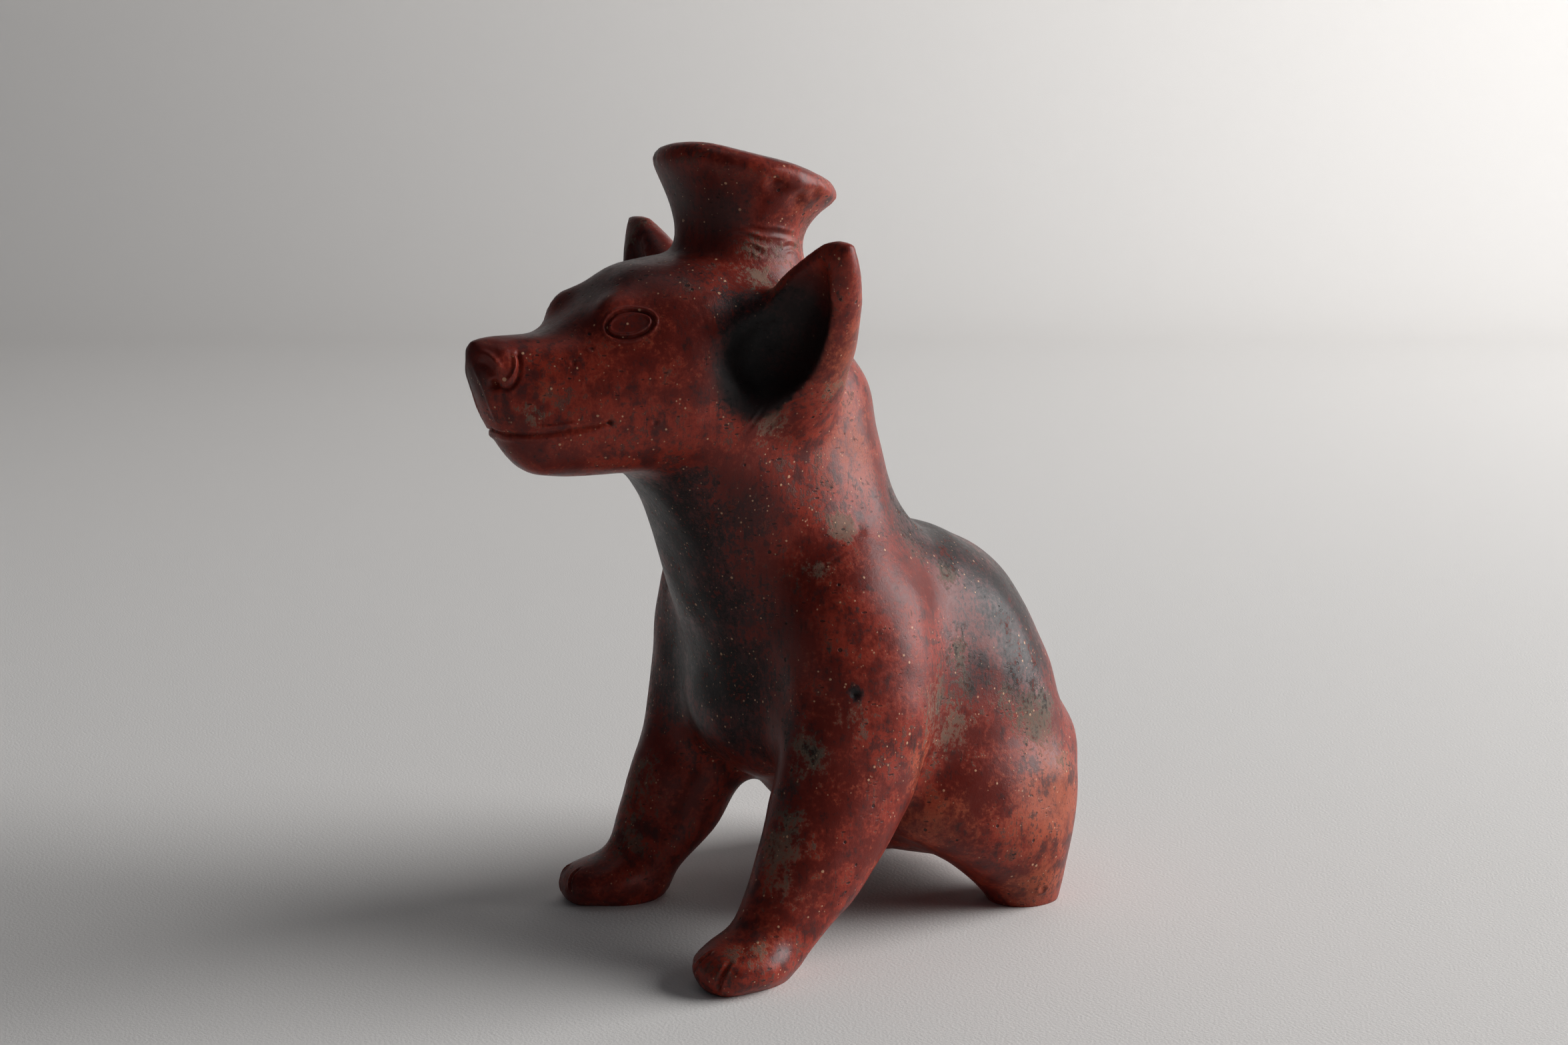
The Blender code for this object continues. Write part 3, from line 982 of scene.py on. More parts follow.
PATCHES: dict[StainAndShade, tuple[Patch, ...]] = {
    StainAndShade.SOOT_AND_SHADE: (
        Patch((0, -74, 160), (30, 16, 20), 1.1),
        Patch((4, -68, 145), (31, 20, 20), 1.10),
        Patch((7, -58, 122), (33, 20, 24), 0.92),
        Patch((8, -52, 96), (34, 20, 22), 1.05),
        Patch((8, -46, 78), (30, 16, 16), 0.8),
        Patch((-30, -42, 92), (22, 18, 28), 0.9, False),
        Patch((-38, -44, 74), (14, 14, 20), 0.5, False),
        Patch((-6, -34, 196), (22, 30, 10), 0.4, False),
        Patch((34, -56, 222), (10, 12, 15), 1.1),
        Patch((38, -56, 208), (9, 9, 10), 0.9),
        # Painted shadow under the back of the jaw.
        Patch((22, -70, 171), (14, 14, 6), 0.7),
        Patch((63.9, -30.1, 97.7), (2.6, 3.0, 3.0), 1.3, False),
        Patch((58, -45, 78), (8, 8, 9), 0.5, False),
        Patch((47, -47, 84), (8, 7, 12), 0.6, False),
        Patch((54, -52, 62), (9, 8, 16), 0.55, False),
        Patch((14, 22, 150), (40, 24, 22), 0.95),
        Patch((18, 40, 140), (44, 26, 22), 1.05),
        Patch((30, 54, 116), (34, 34, 26), 1.1),
        Patch((48, 56, 98), (18, 26, 20), 0.85),
        Patch((54, 62, 82), (12, 16, 14), 0.6),
        Patch((54, 30, 96), (12, 20, 14), 0.62),
        Patch((60, 12, 86), (9, 12, 12), 0.35),
        Patch((-50, 20, 60), (18, 24, 18), 0.7, False),
        Patch((-38, -5, 170), (14, 26, 22), 0.5, False),
    ),
    StainAndShade.DUST: (
        Patch((28, -46, 239), (13, 12, 6), 1.0),
        Patch((23, -38, 248), (6, 14, 5), 0.85),
        Patch((-62, -44, 250), (9, 12, 10), 0.7, False),
        Patch((43, 26, 129), (9, 8, 8), 1.0, False),
        Patch((38, 12, 140), (9, 9, 9), 0.6, False),
        Patch((54, 61, 75), (12, 15, 13), 1.1),
        Patch((56, 42, 86), (9, 9, 9), 0.7, False),
        Patch((57, 68, 60), (9, 9, 12), 0.6),
        Patch((60, 5, 88), (10, 12, 14), 0.8),
        Patch((56, 18, 76), (12, 14, 14), 0.8),
        Patch((43.1, -20.6, 152.3), (5, 6, 6), 1.15, False),
        Patch((45, -34, 139), (7, 9, 5), 0.9, False),
        Patch((56, -45, 77), (11, 10, 13), 0.95, False),
        Patch((58, -55, 48), (10, 10, 20), 0.85, False),
        Patch((54, 24, 98), (9, 7, 14), 0.85, False),
        Patch((-43, -54, 46), (10, 10, 18), 0.6, False),
        Patch((40, -50, 190), (9, 9, 7), 0.85, False),
        Patch((54, -28, 205), (9, 10, 16), 0.6),
        Patch((14.5, -127, 196), (6, 6, 5), 0.7),
        Patch((62, -33, 88), (8, 8, 8), 0.7),
        Patch((55, -48, 74), (8, 8, 8), 0.65),
        Patch((36, -43, 89), (3, 3, 12), 0.6, False),
        Patch((62, -58, 34), (9, 9, 14), 0.6),
        Patch((68, -75, 15), (8, 10, 6), 0.5),
        Patch((-40, -62, 26), (10, 10, 14), 0.5, False),
        Patch((34, 14, 152), (12, 14, 14), 0.55),
    ),
    StainAndShade.WARMTH: (
        Patch((60, 64, 42), (16, 30, 28), 1.0),
        Patch((50, 20, 42), (16, 26, 14), 0.9),
        Patch((58, 60, 12), (14, 20, 16), 0.9),
        Patch((36, -10, 180), (18, 24, 30), 0.65),
        Patch((60, -30, 215), (14, 14, 34), 0.8),
        Patch((28, -24, 264), (12, 12, 12), 0.6),
        Patch((64, -2, 67), (12, 14, 16), 0.8),
        Patch((66, -72, 15), (12, 16, 12), 0.5),
        Patch((0, 96, 46), (40, 18, 26), 0.9),
        Patch((16, -126, 203), (7, 10, 7), 0.5),
        Patch((48, -30, 140), (12, 12, 26), 0.35),
    ),
    # Painted shade: the top of the head and muzzle, the shade side of the spout and neck, the far ear and
    # far leg, the nose and under the chin; the darker eye disc is the slip's own colour.
    StainAndShade.SHADE_AND_DARK_SLIP: (
        Patch((8, -75, 240), (26, 26, 10), 1.0),
        Patch((0, -98, 236), (20, 18, 9), 0.9),
        Patch((0, -120, 222), (12, 20, 5), 0.8),
        Patch((2, -142, 210), (9, 6, 14), 0.9),
        Patch((26, -95, 226), (7, 8, 5), 0.8),
        Patch((0, -64, 265), (17, 12, 16), 1.0),
        Patch((14, -54, 262), (14, 12, 18), 0.95),
        Patch((-60, -44, 238), (16, 16, 22), 1.0, False),
        Patch((-42, -56, 60), (14, 14, 20), 0.5, False),
        Patch((36, -54, 160), (14, 16, 20), 0.85, False),
        Patch((10, -50, 232), (26, 16, 8), 0.8),
        Patch((40, -46, 118), (16, 14, 24), 0.7, False),
        Patch((8, -128, 184), (14, 14, 6), 0.45),
    ),
}


@dataclass(frozen=True)
class Dent:
    """A small dent, pit or raised crumb in the clay, with a raised ring round it."""

    centre: Place
    radius: float
    depth: float
    ring: float = 0.0
    ring_away: float = 1.6
    ring_sharpness: float = 3.0
    sharpness: float = 1.5

    def move(self, points: np.ndarray) -> np.ndarray:
        """How far each point moves out."""
        away = np.linalg.norm(points - self.centre, axis=1) / self.radius
        ring = self.ring * np.exp(-((away - self.ring_away) ** 2) * self.ring_sharpness)
        return ring - self.depth * np.exp(-(away**2) * self.sharpness)


DENTS: tuple[Dent, ...] = (
    Dent((0.0640, -0.0302, 0.0973), 0.0016, 0.0007, 0.0003),
    Dent((0.0586, 0.0611, 0.0085), 0.0014, 0.0005, 0.0003),
    Dent((0.0438, -0.0139, 0.1508), 0.0024, 0.00025, 0.0001),
    Dent((0.0306, -0.0895, 0.1927), 0.0010, 0.0006, 0.0001),
    Dent((0.0203, -0.1076, 0.2172), 0.0009, 0.0005, 0.0001),
    Dent((0.0189, -0.1140, 0.2125), 0.0009, 0.0005, 0.0001),
    Dent((0.0275, -0.1010, 0.1930), 0.0008, 0.0006, 0.0001),
    Dent((0.0307, -0.0410, 0.2712), 0.0030, 0.0009, 0.0003),
    Dent((0.0285, -0.0300, 0.2656), 0.0034, 0.0008, 0.0002),
    Dent((0.0300, -0.0235, 0.2680), 0.0030, 0.0008, 0.0002),
    Dent((0.0324, -0.0325, 0.2718), 0.0046, -0.0011),
    Dent((0.0300, -0.0480, 0.2720), 0.0050, -0.0006),
)


@dataclass(frozen=True)
class Undulation:
    """The slow unevenness that burnishing by hand leaves, as a sum of waves."""

    height: float = 0.00022
    shortest: float = 0.014
    longest: float = 0.045
    waves: int = 14
    seed: int = 7

    def move(self, points: np.ndarray) -> np.ndarray:
        """How far each point moves out."""
        dice = np.random.default_rng(self.seed)
        total = np.zeros(len(points))
        for _ in range(self.waves):
            way = dice.normal(size=3)
            way /= np.linalg.norm(way)
            length = dice.uniform(self.shortest, self.longest)
            total += np.sin(points @ way * (2 * math.pi / length) + dice.uniform(0, 2 * math.pi))
        return total * self.height / math.sqrt(self.waves / 2)


class NodeSheet:
    """A material's node tree, with short calls for the nodes used here."""

    def __init__(self, name: str) -> None:
        """Starts a material with a Principled shader."""
        self.material = bpy.data.materials.new(name)
        self.material.use_nodes = True
        self.tree = self.material.node_tree
        self.shader = self.tree.nodes["Principled BSDF"]
        self.place = self.tree.nodes.new("ShaderNodeTexCoord").outputs["Object"]

    def link(self, value: object, socket: Socket) -> None:
        """Sets a socket to a number or colour, or links another node's output to it."""
        if isinstance(value, Socket):
            self.tree.links.new(value, socket)
        else:
            socket.default_value = value

    def math(self, operation: str, a: object, b: object = 0.0, clamp: bool = False) -> Socket:
        """A Math node's output."""
        node = self.tree.nodes.new("ShaderNodeMath")
        node.operation = operation
        node.use_clamp = clamp
        self.link(a, node.inputs[0])
        self.link(b, node.inputs[1])
        return node.outputs[0]

    def vector(self, operation: str, a: object, b: object) -> Socket:
        """A Vector Math node's output."""
        node = self.tree.nodes.new("ShaderNodeVectorMath")
        node.operation = operation
        self.link(a, node.inputs[0])
        self.link(b, node.inputs[1])
        return node.outputs[0]

    def stretch(self, by: Place) -> Socket:
        """The place, scaled along each axis."""
        return self.vector("MULTIPLY", self.place, by)

    def noise(
        self, scale: float, detail: float = 4.0, rough: float = 0.5, place: object = None
    ) -> Socket:
        """A Noise Texture's output.

        Args:
            scale: Its scale, in features to the metre.
            detail: How many finer layers it has.
            rough: How strong those are.
            place: Where it is read, the object's own place if not given.

        Returns:
            The number.
        """
        node = self.tree.nodes.new("ShaderNodeTexNoise")
        self.link(self.place if place is None else place, node.inputs["Vector"])
        node.inputs["Scale"].default_value = scale
        node.inputs["Detail"].default_value = detail
        node.inputs["Roughness"].default_value = rough
        return node.outputs["Fac"]

    def cells(self, scale: float, place: object) -> tuple[Socket, Socket]:
        """The distance from the nearest of many scattered points, and that point's random colour."""
        node = self.tree.nodes.new("ShaderNodeTexVoronoi")
        self.link(place, node.inputs["Vector"])
        node.inputs["Scale"].default_value = scale
        return node.outputs["Distance"], node.outputs["Color"]

    def step(self, value: object, low: float, high: float) -> Socket:
        """0 where the value is under low and 1 over high, or the other way round if low is the higher."""
        node = self.tree.nodes.new("ShaderNodeMapRange")
        node.interpolation_type = "SMOOTHSTEP"
        self.link(value, node.inputs["Value"])
        node.inputs["From Min"].default_value = min(low, high)
        node.inputs["From Max"].default_value = max(low, high)
        node.inputs["To Min"].default_value = 0.0 if low < high else 1.0
        node.inputs["To Max"].default_value = 1.0 if low < high else 0.0
        return node.outputs["Result"]

    def mix(self, share: object, a: object, b: object) -> Socket:
        """A colour between two."""
        node = self.tree.nodes.new("ShaderNodeMix")
        node.data_type = "RGBA"
        self.link(share, node.inputs[0])
        self.link(a, node.inputs[6])
        self.link(b, node.inputs[7])
        return node.outputs[2]

    def layer(self, stain_and_shade: StainAndShade) -> Socket:
        """One layer of stains and painted shade in the mesh."""
        node = self.tree.nodes.new("ShaderNodeAttribute")
        node.attribute_name = stain_and_shade.value
        return node.outputs["Fac"]

    def first(self, colour: Socket) -> Socket:
        """The red number of a colour."""
        node = self.tree.nodes.new("ShaderNodeSeparateColor")
        self.link(colour, node.inputs[0])
        return node.outputs[0]

    def bump(
        self, height: object, distance: float, strength: float, under: object = None
    ) -> Socket:
        """A Bump node's normal, on top of another."""
        node = self.tree.nodes.new("ShaderNodeBump")
        node.inputs["Distance"].default_value = distance
        node.inputs["Strength"].default_value = strength
        self.link(height, node.inputs["Height"])
        if under is not None:
            self.link(under, node.inputs["Normal"])
        return node.outputs["Normal"]


@dataclass(frozen=True)
class Cover:
    """How a layer of stains and painted shade covers the slip.

    Attributes:
        low: The least of the layer that shows.
        high: How much of it covers the slip fully.
        ragged: How ragged and speckled its edge is.
        strength: How opaque it is at most.
    """

    low: float
    high: float
    ragged: float
    strength: float


@dataclass(frozen=True)
class Dots:
    """Dots of uneven size, scattered over the slip.

    Attributes:
        cells: How many cells there are to the metre along each axis, with a dot in each at most.
        rarest: The share of the cells that hold no dot.
        size: The radius of the largest dot in cells.
        strength: How opaque the dots are.
        height: How high they stand for one of the highest chips, or how deep if less than 0.
    """

    cells: Place
    rarest: float
    size: float
    strength: float
    height: float

    def mask(self, s: NodeSheet, ragged: Socket) -> Socket:
        """1 in the dots and 0 elsewhere, with outlines made uneven by a number."""
        away, lot = s.cells(1.0, s.stretch(self.cells))
        lot = s.first(lot)
        radius = s.math("MULTIPLY", s.math("SUBTRACT", lot, self.rarest), self.size / (1 - self.rarest))
        wobble = s.math("MULTIPLY", ragged, self.size * 0.9)
        edge = s.math("ADD", s.math("SUBTRACT", radius, away), wobble)
        present = s.step(lot, self.rarest, self.rarest + 0.01)
        return s.math("MULTIPLY", present, s.step(edge, 0.0, self.size * 0.35))


@dataclass(frozen=True)
class BurnishedSlip:
    """The burnished red slip, with fire-clouds, dust, grit and scratches, darker incised lines, and painted
    shade on the head, spout, neck, far ear and leg, under the jaw and in the ear hollows.
    """

    oxblood: Row = (0.125, 0.0135, 0.0085, 1.0)
    brick: Row = (0.275, 0.0300, 0.0155, 1.0)
    orange: Row = (0.410, 0.1050, 0.0470, 1.0)
    # Charred brown round the fire-clouds, also used for the painted shadow under the jaw.
    char_and_shade: Row = (0.034, 0.0165, 0.0175, 1.0)
    # Dark purplish slip for random dull patches, also used for the painted shade.
    shade_and_dark_slip: Row = (0.046, 0.0125, 0.0120, 1.0)
    # Near black of the fire-clouds, also used for the painted shadow under the jaw and the painted shade in
    # the ear hollows.
    soot_and_shade: Row = (0.0062, 0.0048, 0.0052, 1.0)
    dust: Row = (0.150, 0.122, 0.088, 1.0)
    grit: Row = (0.580, 0.330, 0.200, 1.0)
    fleck: Row = (0.012, 0.007, 0.006, 1.0)
    warmth_cover: Cover = Cover(0.25, 1.10, 0.90, 0.62)
    shade_and_dark_slip_cover: Cover = Cover(0.15, 0.95, 0.90, 0.88)
    char_and_shade_cover: Cover = Cover(0.20, 0.58, 1.30, 0.85)
    dust_cover: Cover = Cover(0.42, 0.98, 1.55, 0.68)
    soot_and_shade_cover: Cover = Cover(0.50, 0.98, 1.35, 0.94)
    dashes: Dots = Dots((300, 300, 760), 0.55, 0.340, 0.80, -0.60)
    chips: Dots = Dots((95, 95, 95), 0.60, 0.085, 0.80, 0.50)
    specks: Dots = Dots((290, 290, 290), 0.45, 0.180, 0.80, 0.25)
    sand: Dots = Dots((520, 520, 520), 0.15, 0.220, 0.72, 0.20)
    pits: Dots = Dots((170, 170, 170), 0.40, 0.150, 0.85, -1.00)
    mottling: float = 0.32
    dulling: float = 0.78
    red_through: float = 0.34
    brushed: float = 0.45
    # Strength of the black painted in the ear hollows, partly soot and partly painted shade.
    ear_soot_and_shade_strength: float = 0.96
    # Strength of the darkening along the incised lines and in their end holes.
    groove_darkness: float = 0.85
    stroke_cells: Place = (600, 600, 70)
    ripple_cells: Place = (260, 260, 45)
    polish: float = 0.40
    shine: float = 0.20
    coat: float = 0.05
    coat_roughness: float = 0.30

    def material(self) -> bpy.types.Material:
        """Builds the material."""
        s = NodeSheet("burnished_red_slip")
        broad, medium, fine, grain = (
            s.math("SUBTRACT", s.noise(*noise), 0.5)
            for noise in ((34, 3, 0.55), (130, 4, 0.6), (620, 4, 0.65), (2100, 2, 0.6))
        )
        strokes = s.math("SUBTRACT", s.noise(1, 4, 0.6, s.stretch(self.stroke_cells)), 0.5)

        def total(*terms: tuple[object, float]) -> Socket:
            """The sum of numbers, each times its weight."""
            result: object = 0.0
            for value, weight in terms:
                result = s.math("ADD", result, s.math("MULTIPLY", value, weight))
            return result

        wobble = total((broad, 0.9), (medium, 1.5), (fine, 1.3), (grain, 0.5), (strokes, 0.6))

        def shown(stain_and_shade: StainAndShade, cover: Cover) -> Socket:
            """Where one layer of stains and painted shade shows."""
            return s.step(total((s.layer(stain_and_shade), 1.0), (wobble, cover.ragged)), cover.low, cover.high)

        def over(share: object, strength: float, below: object, above: Row) -> Socket:
            """Lays a colour over another."""
            return s.mix(s.math("MULTIPLY", share, strength), below, above)

        lit = s.step(total((broad, 1.0), (medium, 0.9), (fine, 0.8)), -0.16, 0.18)
        colour = s.mix(lit, self.oxblood, self.brick)
        mottled = s.step(total((medium, 1.0), (fine, 1.4)), 0.10, 0.30)
        colour = over(mottled, self.mottling, colour, self.orange)
        warm = shown(StainAndShade.WARMTH, self.warmth_cover)
        colour = over(warm, self.warmth_cover.strength, colour, self.orange)
        dulled = s.step(total((broad, 0.8), (medium, -1.2), (fine, 1.1), (strokes, 0.5)), 0.05, 0.28)
        colour = over(dulled, self.dulling, colour, self.shade_and_dark_slip)
        # Painted shade from its layer, and the darker eye disc.
        shade_and_dark_slip_share = shown(StainAndShade.SHADE_AND_DARK_SLIP, self.shade_and_dark_slip_cover)
        colour = over(shade_and_dark_slip_share, self.shade_and_dark_slip_cover.strength, colour, self.shade_and_dark_slip)
        # Charred halo round the fire-clouds, which includes the painted shadow under the jaw.
        charred_and_shaded = shown(StainAndShade.SOOT_AND_SHADE, self.char_and_shade_cover)
        colour = over(charred_and_shaded, self.char_and_shade_cover.strength, colour, self.char_and_shade)
        dusty = shown(StainAndShade.DUST, self.dust_cover)
        colour = over(dusty, self.dust_cover.strength, colour, self.dust)
        # Black cores of the fire-clouds, which include the painted shadow under the jaw.
        soot_and_shade_share = shown(StainAndShade.SOOT_AND_SHADE, self.soot_and_shade_cover)
        colour = over(soot_and_shade_share, self.soot_and_shade_cover.strength, colour, self.soot_and_shade)
        bare = s.step(total((fine, 1.0), (medium, 0.6), (broad, 0.5)), 0.10, 0.22)
        colour = over(s.math("MULTIPLY", charred_and_shaded, bare), self.red_through, colour, self.brick)
        colour = over(s.step(strokes, 0.10, 0.24), self.brushed, colour, self.fleck)

        crowded = s.step(total((broad, 1.0), (medium, 0.5)), -0.20, 0.12)
        gritty = s.step(total((broad, 1.0), (medium, 0.8)), -0.14, 0.10)
        relief = [(dusty, 0.25)]
        for dots, ragged, where, tone in (
            (self.dashes, medium, crowded, self.fleck),
            (self.chips, medium, None, self.grit),
            (self.specks, fine, None, self.grit),
            (self.sand, fine, gritty, self.grit),
            (self.pits, medium, None, self.fleck),
        ):
            mask = dots.mask(s, ragged)
            if where is not None:
                mask = s.math("MULTIPLY", mask, where)
            colour = over(mask, dots.strength, colour, tone)
            relief.append((mask, dots.height))
        # Ear hollows painted black: partly soot, partly painted shade that deepens towards the cheek.
        inside = s.step(total((s.layer(StainAndShade.EAR_SOOT_AND_SHADE), 1.0), (medium, 0.9), (fine, 0.6)), 0.10, 0.95)
        colour = over(inside, self.ear_soot_and_shade_strength, colour, self.soot_and_shade)
        # Darker along the incised lines and in the holes at their ends.
        colour = over(s.layer(StainAndShade.GROOVE), self.groove_darkness, colour, self.fleck)
        s.link(colour, s.shader.inputs["Base Color"])

        rough = total((self.polish, 1.0), (fine, 0.35), (dusty, 0.28), (medium, 0.25), (inside, 0.16))
        s.link(s.math("ADD", rough, 0.0, clamp=True), s.shader.inputs["Roughness"])
        s.shader.inputs["Specular IOR Level"].default_value = self.shine
        s.shader.inputs["Coat Weight"].default_value = self.coat
        s.shader.inputs["Coat Roughness"].default_value = self.coat_roughness

        normal = s.bump(s.noise(1, 3, 0.5, s.stretch(self.ripple_cells)), 0.0004, 0.15)
        normal = s.bump(total((fine, 1.0), (grain, 0.5)), 0.0004, 0.22, normal)
        normal = s.bump(total(*relief), 0.00025, 0.7, normal)
        s.link(normal, s.shader.inputs["Normal"])
        return s.material


@dataclass(frozen=True)
class PaleCloth:
    """The pale matt cover of the floor and backdrop."""

    colour: Row = (0.74, 0.72, 0.70, 1.0)
    weave: float = 900.0
    thread: float = 0.0004
    softness: float = 0.3

    def material(self) -> bpy.types.Material:
        """Builds the material."""
        s = NodeSheet("pale_cloth")
        s.shader.inputs["Base Color"].default_value = self.colour
        s.shader.inputs["Roughness"].default_value = 0.9
        s.link(s.bump(s.noise(self.weave, 2), self.thread, self.softness), s.shader.inputs["Normal"])
        return s.material


@dataclass(frozen=True)
class Vessel:
    """The whole vessel, from its forms to its stains and painted shade."""

    trunk: Trunk = Trunk()
    head: Head = Head()
    spout: Spout = Spout()
    foreleg: Leg = Leg(
        (
            (0.030, -0.014, 0.152, 0.013, 0.018),
            (0.036, -0.014, 0.136, 0.020, 0.027),
            (0.042, -0.013, 0.112, 0.023, 0.031),
            (0.046, -0.0145, 0.088, 0.0230, 0.0305),
            (0.049, -0.0205, 0.066, 0.0215, 0.0290),
            (0.051, -0.0275, 0.050, 0.0200, 0.0275),
            (0.053, -0.0360, 0.036, 0.0180, 0.0245),
            (0.054, -0.0438, 0.023, 0.0160, 0.0218),
            (0.055, -0.0540, 0.012, 0.0140, 0.0170),
            (0.055, -0.0610, 0.000, 0.0115, 0.0120),
            (0.055, -0.0630, -0.008, 0.0080, 0.0080),
        )
    )
    hind_leg: Leg = Leg(
        (
            (0.031, 0.0450, 0.070, 0.0260, 0.0380),
            (0.036, 0.0465, 0.052, 0.0275, 0.0450),
            (0.0385, 0.0465, 0.036, 0.0270, 0.0430),
            (0.0410, 0.0540, 0.024, 0.0230, 0.0312),
            (0.0425, 0.0603, 0.013, 0.0185, 0.0216),
            (0.0430, 0.0640, 0.005, 0.0150, 0.0172),
            (0.0430, 0.0650, 0.000, 0.0130, 0.0145),
            (0.0430, 0.0655, -0.008, 0.0090, 0.0100),
        )
    )
    forepaw: Forepaw = Forepaw()
    ear: Ear = Ear()
    face: Face = Face()
    toes: Toes = Toes()
    wear: Wear = Wear()
    undulation: Undulation = Undulation()
    left_stride: tuple[float, float] = (0.0, 0.004)
    right_stride: tuple[float, float] = (-0.013, -0.001)
    body_voxel: float = 0.003
    skin_voxel: float = 0.002
    hollow_voxel: float = 0.003
    body_fillet: float = 0.012
    trim_fillet: float = 0.004
    hollow_fillet: float = 0.006
    edge_rounds: int = 4
    refined: tuple[float, ...] = (0.0045, 0.0028)

    def stride(self, side: Side) -> tuple[float, float]:
        """How far out and ahead the forepaw on one side is set."""
        return self.left_stride if side is Side.LEFT else self.right_stride

    def outside(self) -> Thing:
        """The whole animal as one fine skin, not yet hollow."""
        forms = self.trunk.forms() + self.head.forms()
        for side in Side:
            forms.append(self.foreleg.form(side, self.stride(side)))
            forms.append(self.forepaw.form(side, self.stride(side)))
            forms.append(self.hind_leg.form(side))
        body = fill_creases(fused("body", forms, self.body_voxel), self.body_fillet, self.body_voxel)
        trim = [self.spout.form()] + self.head.nose_wings() + [self.ear.form(side) for side in Side]
        dog = fused("dog", [body] + trim, self.skin_voxel)
        fill_creases(dog, self.trim_fillet, self.skin_voxel)
        for side in Side:
            cut(dog, self.ear.hollow_form(side))
        return smoothed(fused("fired_clay", [dog], self.skin_voxel), self.edge_rounds)

    def inside(self) -> Thing:
        """The hollow, from the haunches up through the neck and head to the spout's mouth."""
        forms = [self.trunk.hollow(), self.head.hollow(), self.spout.bore_form()]
        hollow = fused("hollow", forms, self.hollow_voxel)
        return fill_creases(hollow, self.hollow_fillet, self.hollow_voxel)

    def lines(self, clay: Thing) -> list[tuple[Stroke, np.ndarray]]:
        """Every incised line on both sides, laid on the clay."""
        lines = []
        for side in Side:
            for stroke in self.face.strokes(clay) + self.toes.strokes(self.stride(side)):
                lines.append((stroke, stroke.line(clay, side)))
        lines += [(stroke, stroke.line(clay, Side.LEFT)) for stroke in self.wear.strokes()]
        return lines

    def build(self) -> Thing:
        """Builds, hollows, incises, stains and paints shade on the vessel."""
        dog = self.outside()
        rub(dog, THUMBED)
        lines = self.lines(dog)
        marks = [points for _, points in lines] + [np.array([dent.centre]) for dent in DENTS]
        marks = np.concatenate(marks)
        log.info("skin: %d points", len(dog.data.vertices))
        cut(dog, self.inside())
        stand_flat(dog)
        for reach in self.refined:
            refine(dog, marks, reach)
        work_surface(dog, lines, self.undulation)
        stain_and_shade(dog, lines, self.ear)
        dog.data.shade_smooth()
        return dog


def stand_flat(dog: Thing, size: float = 0.5) -> None:
    """Cuts the feet flat where they stand."""
    slab = bmesh.new()
    bmesh.ops.create_cube(slab, size=size)
    bmesh.ops.translate(slab, verts=slab.verts, vec=(0, 0, -size / 2))
    cut(dog, thing_from("ground", slab))


def nearest(points: np.ndarray, marks: np.ndarray, reach: float) -> tuple[np.ndarray, np.ndarray]:
    """Finds each point's distance from the nearest mark.

    Args:
        points: The points.
        marks: The marks.
        reach: The distance past which it doesn't matter.

    Returns:
        The distance of each point, or twice the reach where it is further than that, and how far along
        the row of marks the nearest one is.
    """
    block_size = 2000
    far = np.full(len(points), 2 * reach)
    share = np.zeros(len(points))
    low, high = marks.min(0) - reach, marks.max(0) + reach
    close = np.flatnonzero(((points > low) & (points < high)).all(1))
    for block in np.array_split(close, max(1, len(close) // block_size)):
        gaps = np.linalg.norm(points[block, None] - marks[None], axis=2)
        far[block] = np.minimum(gaps.min(1), 2 * reach)
        share[block] = gaps.argmin(1) / max(1, len(marks) - 1)
    return far, share


def refine(dog: Thing, marks: np.ndarray, reach: float, rounds: int = 3, ease: float = 0.5) -> None:
    """Divides the faces near the marks, so that fine lines can be drawn there.

    Args:
        dog: The object.
        marks: The places that need finer faces.
        reach: How far from them.
        rounds: How many times the new faces are evened out.
        ease: How far each round takes a point to the middle of its neighbours.
    """
    close = nearest(points_of(dog.data), marks, reach)[0] < reach
    shape = bmesh.new()
    shape.from_mesh(dog.data)
    shape.verts.ensure_lookup_table()
    edges = [edge for edge in shape.edges if close[edge.verts[0].index] and close[edge.verts[1].index]]
    bmesh.ops.subdivide_edges(shape, edges=edges, cuts=1, use_grid_fill=True)
    shape.to_mesh(dog.data)
    shape.free()
    net = Net(dog.data)
    soft = (nearest(net.points, marks, reach)[0] < reach)[:, None]
    for _ in range(rounds):
        net.points += ease * soft * net.pull()
    net.write()


def work_surface(dog: Thing, lines: list[tuple[Stroke, np.ndarray]], undulation: Undulation) -> None:
    """Moves the surface in and out for lines, dents and the unevenness of hand work.

    Args:
        dog: The object.
        lines: The incised lines and their points on the surface.
        undulation: The unevenness.
    """
    level_feet = 0.004
    points = points_of(dog.data)
    out = normals_of(dog.data)
    move = undulation.move(points) * np.clip(points[:, 2] / level_feet, 0, 1)
    for stroke, line in lines:
        reach = STROKE_REACH * stroke.width
        gap, share = nearest(points, line, reach)
        move += np.where(gap < reach, stroke.profile(gap) * stroke.strength(share), 0)
        if stroke.end_hole:
            gap, _ = nearest(points, line[-1:], HOLE_REACH * stroke.end_hole)
            move += stroke.hole_profile(gap)
    for dent in DENTS:
        move += dent.move(points)
    place_points(dog.data, points + out * move[:, None])


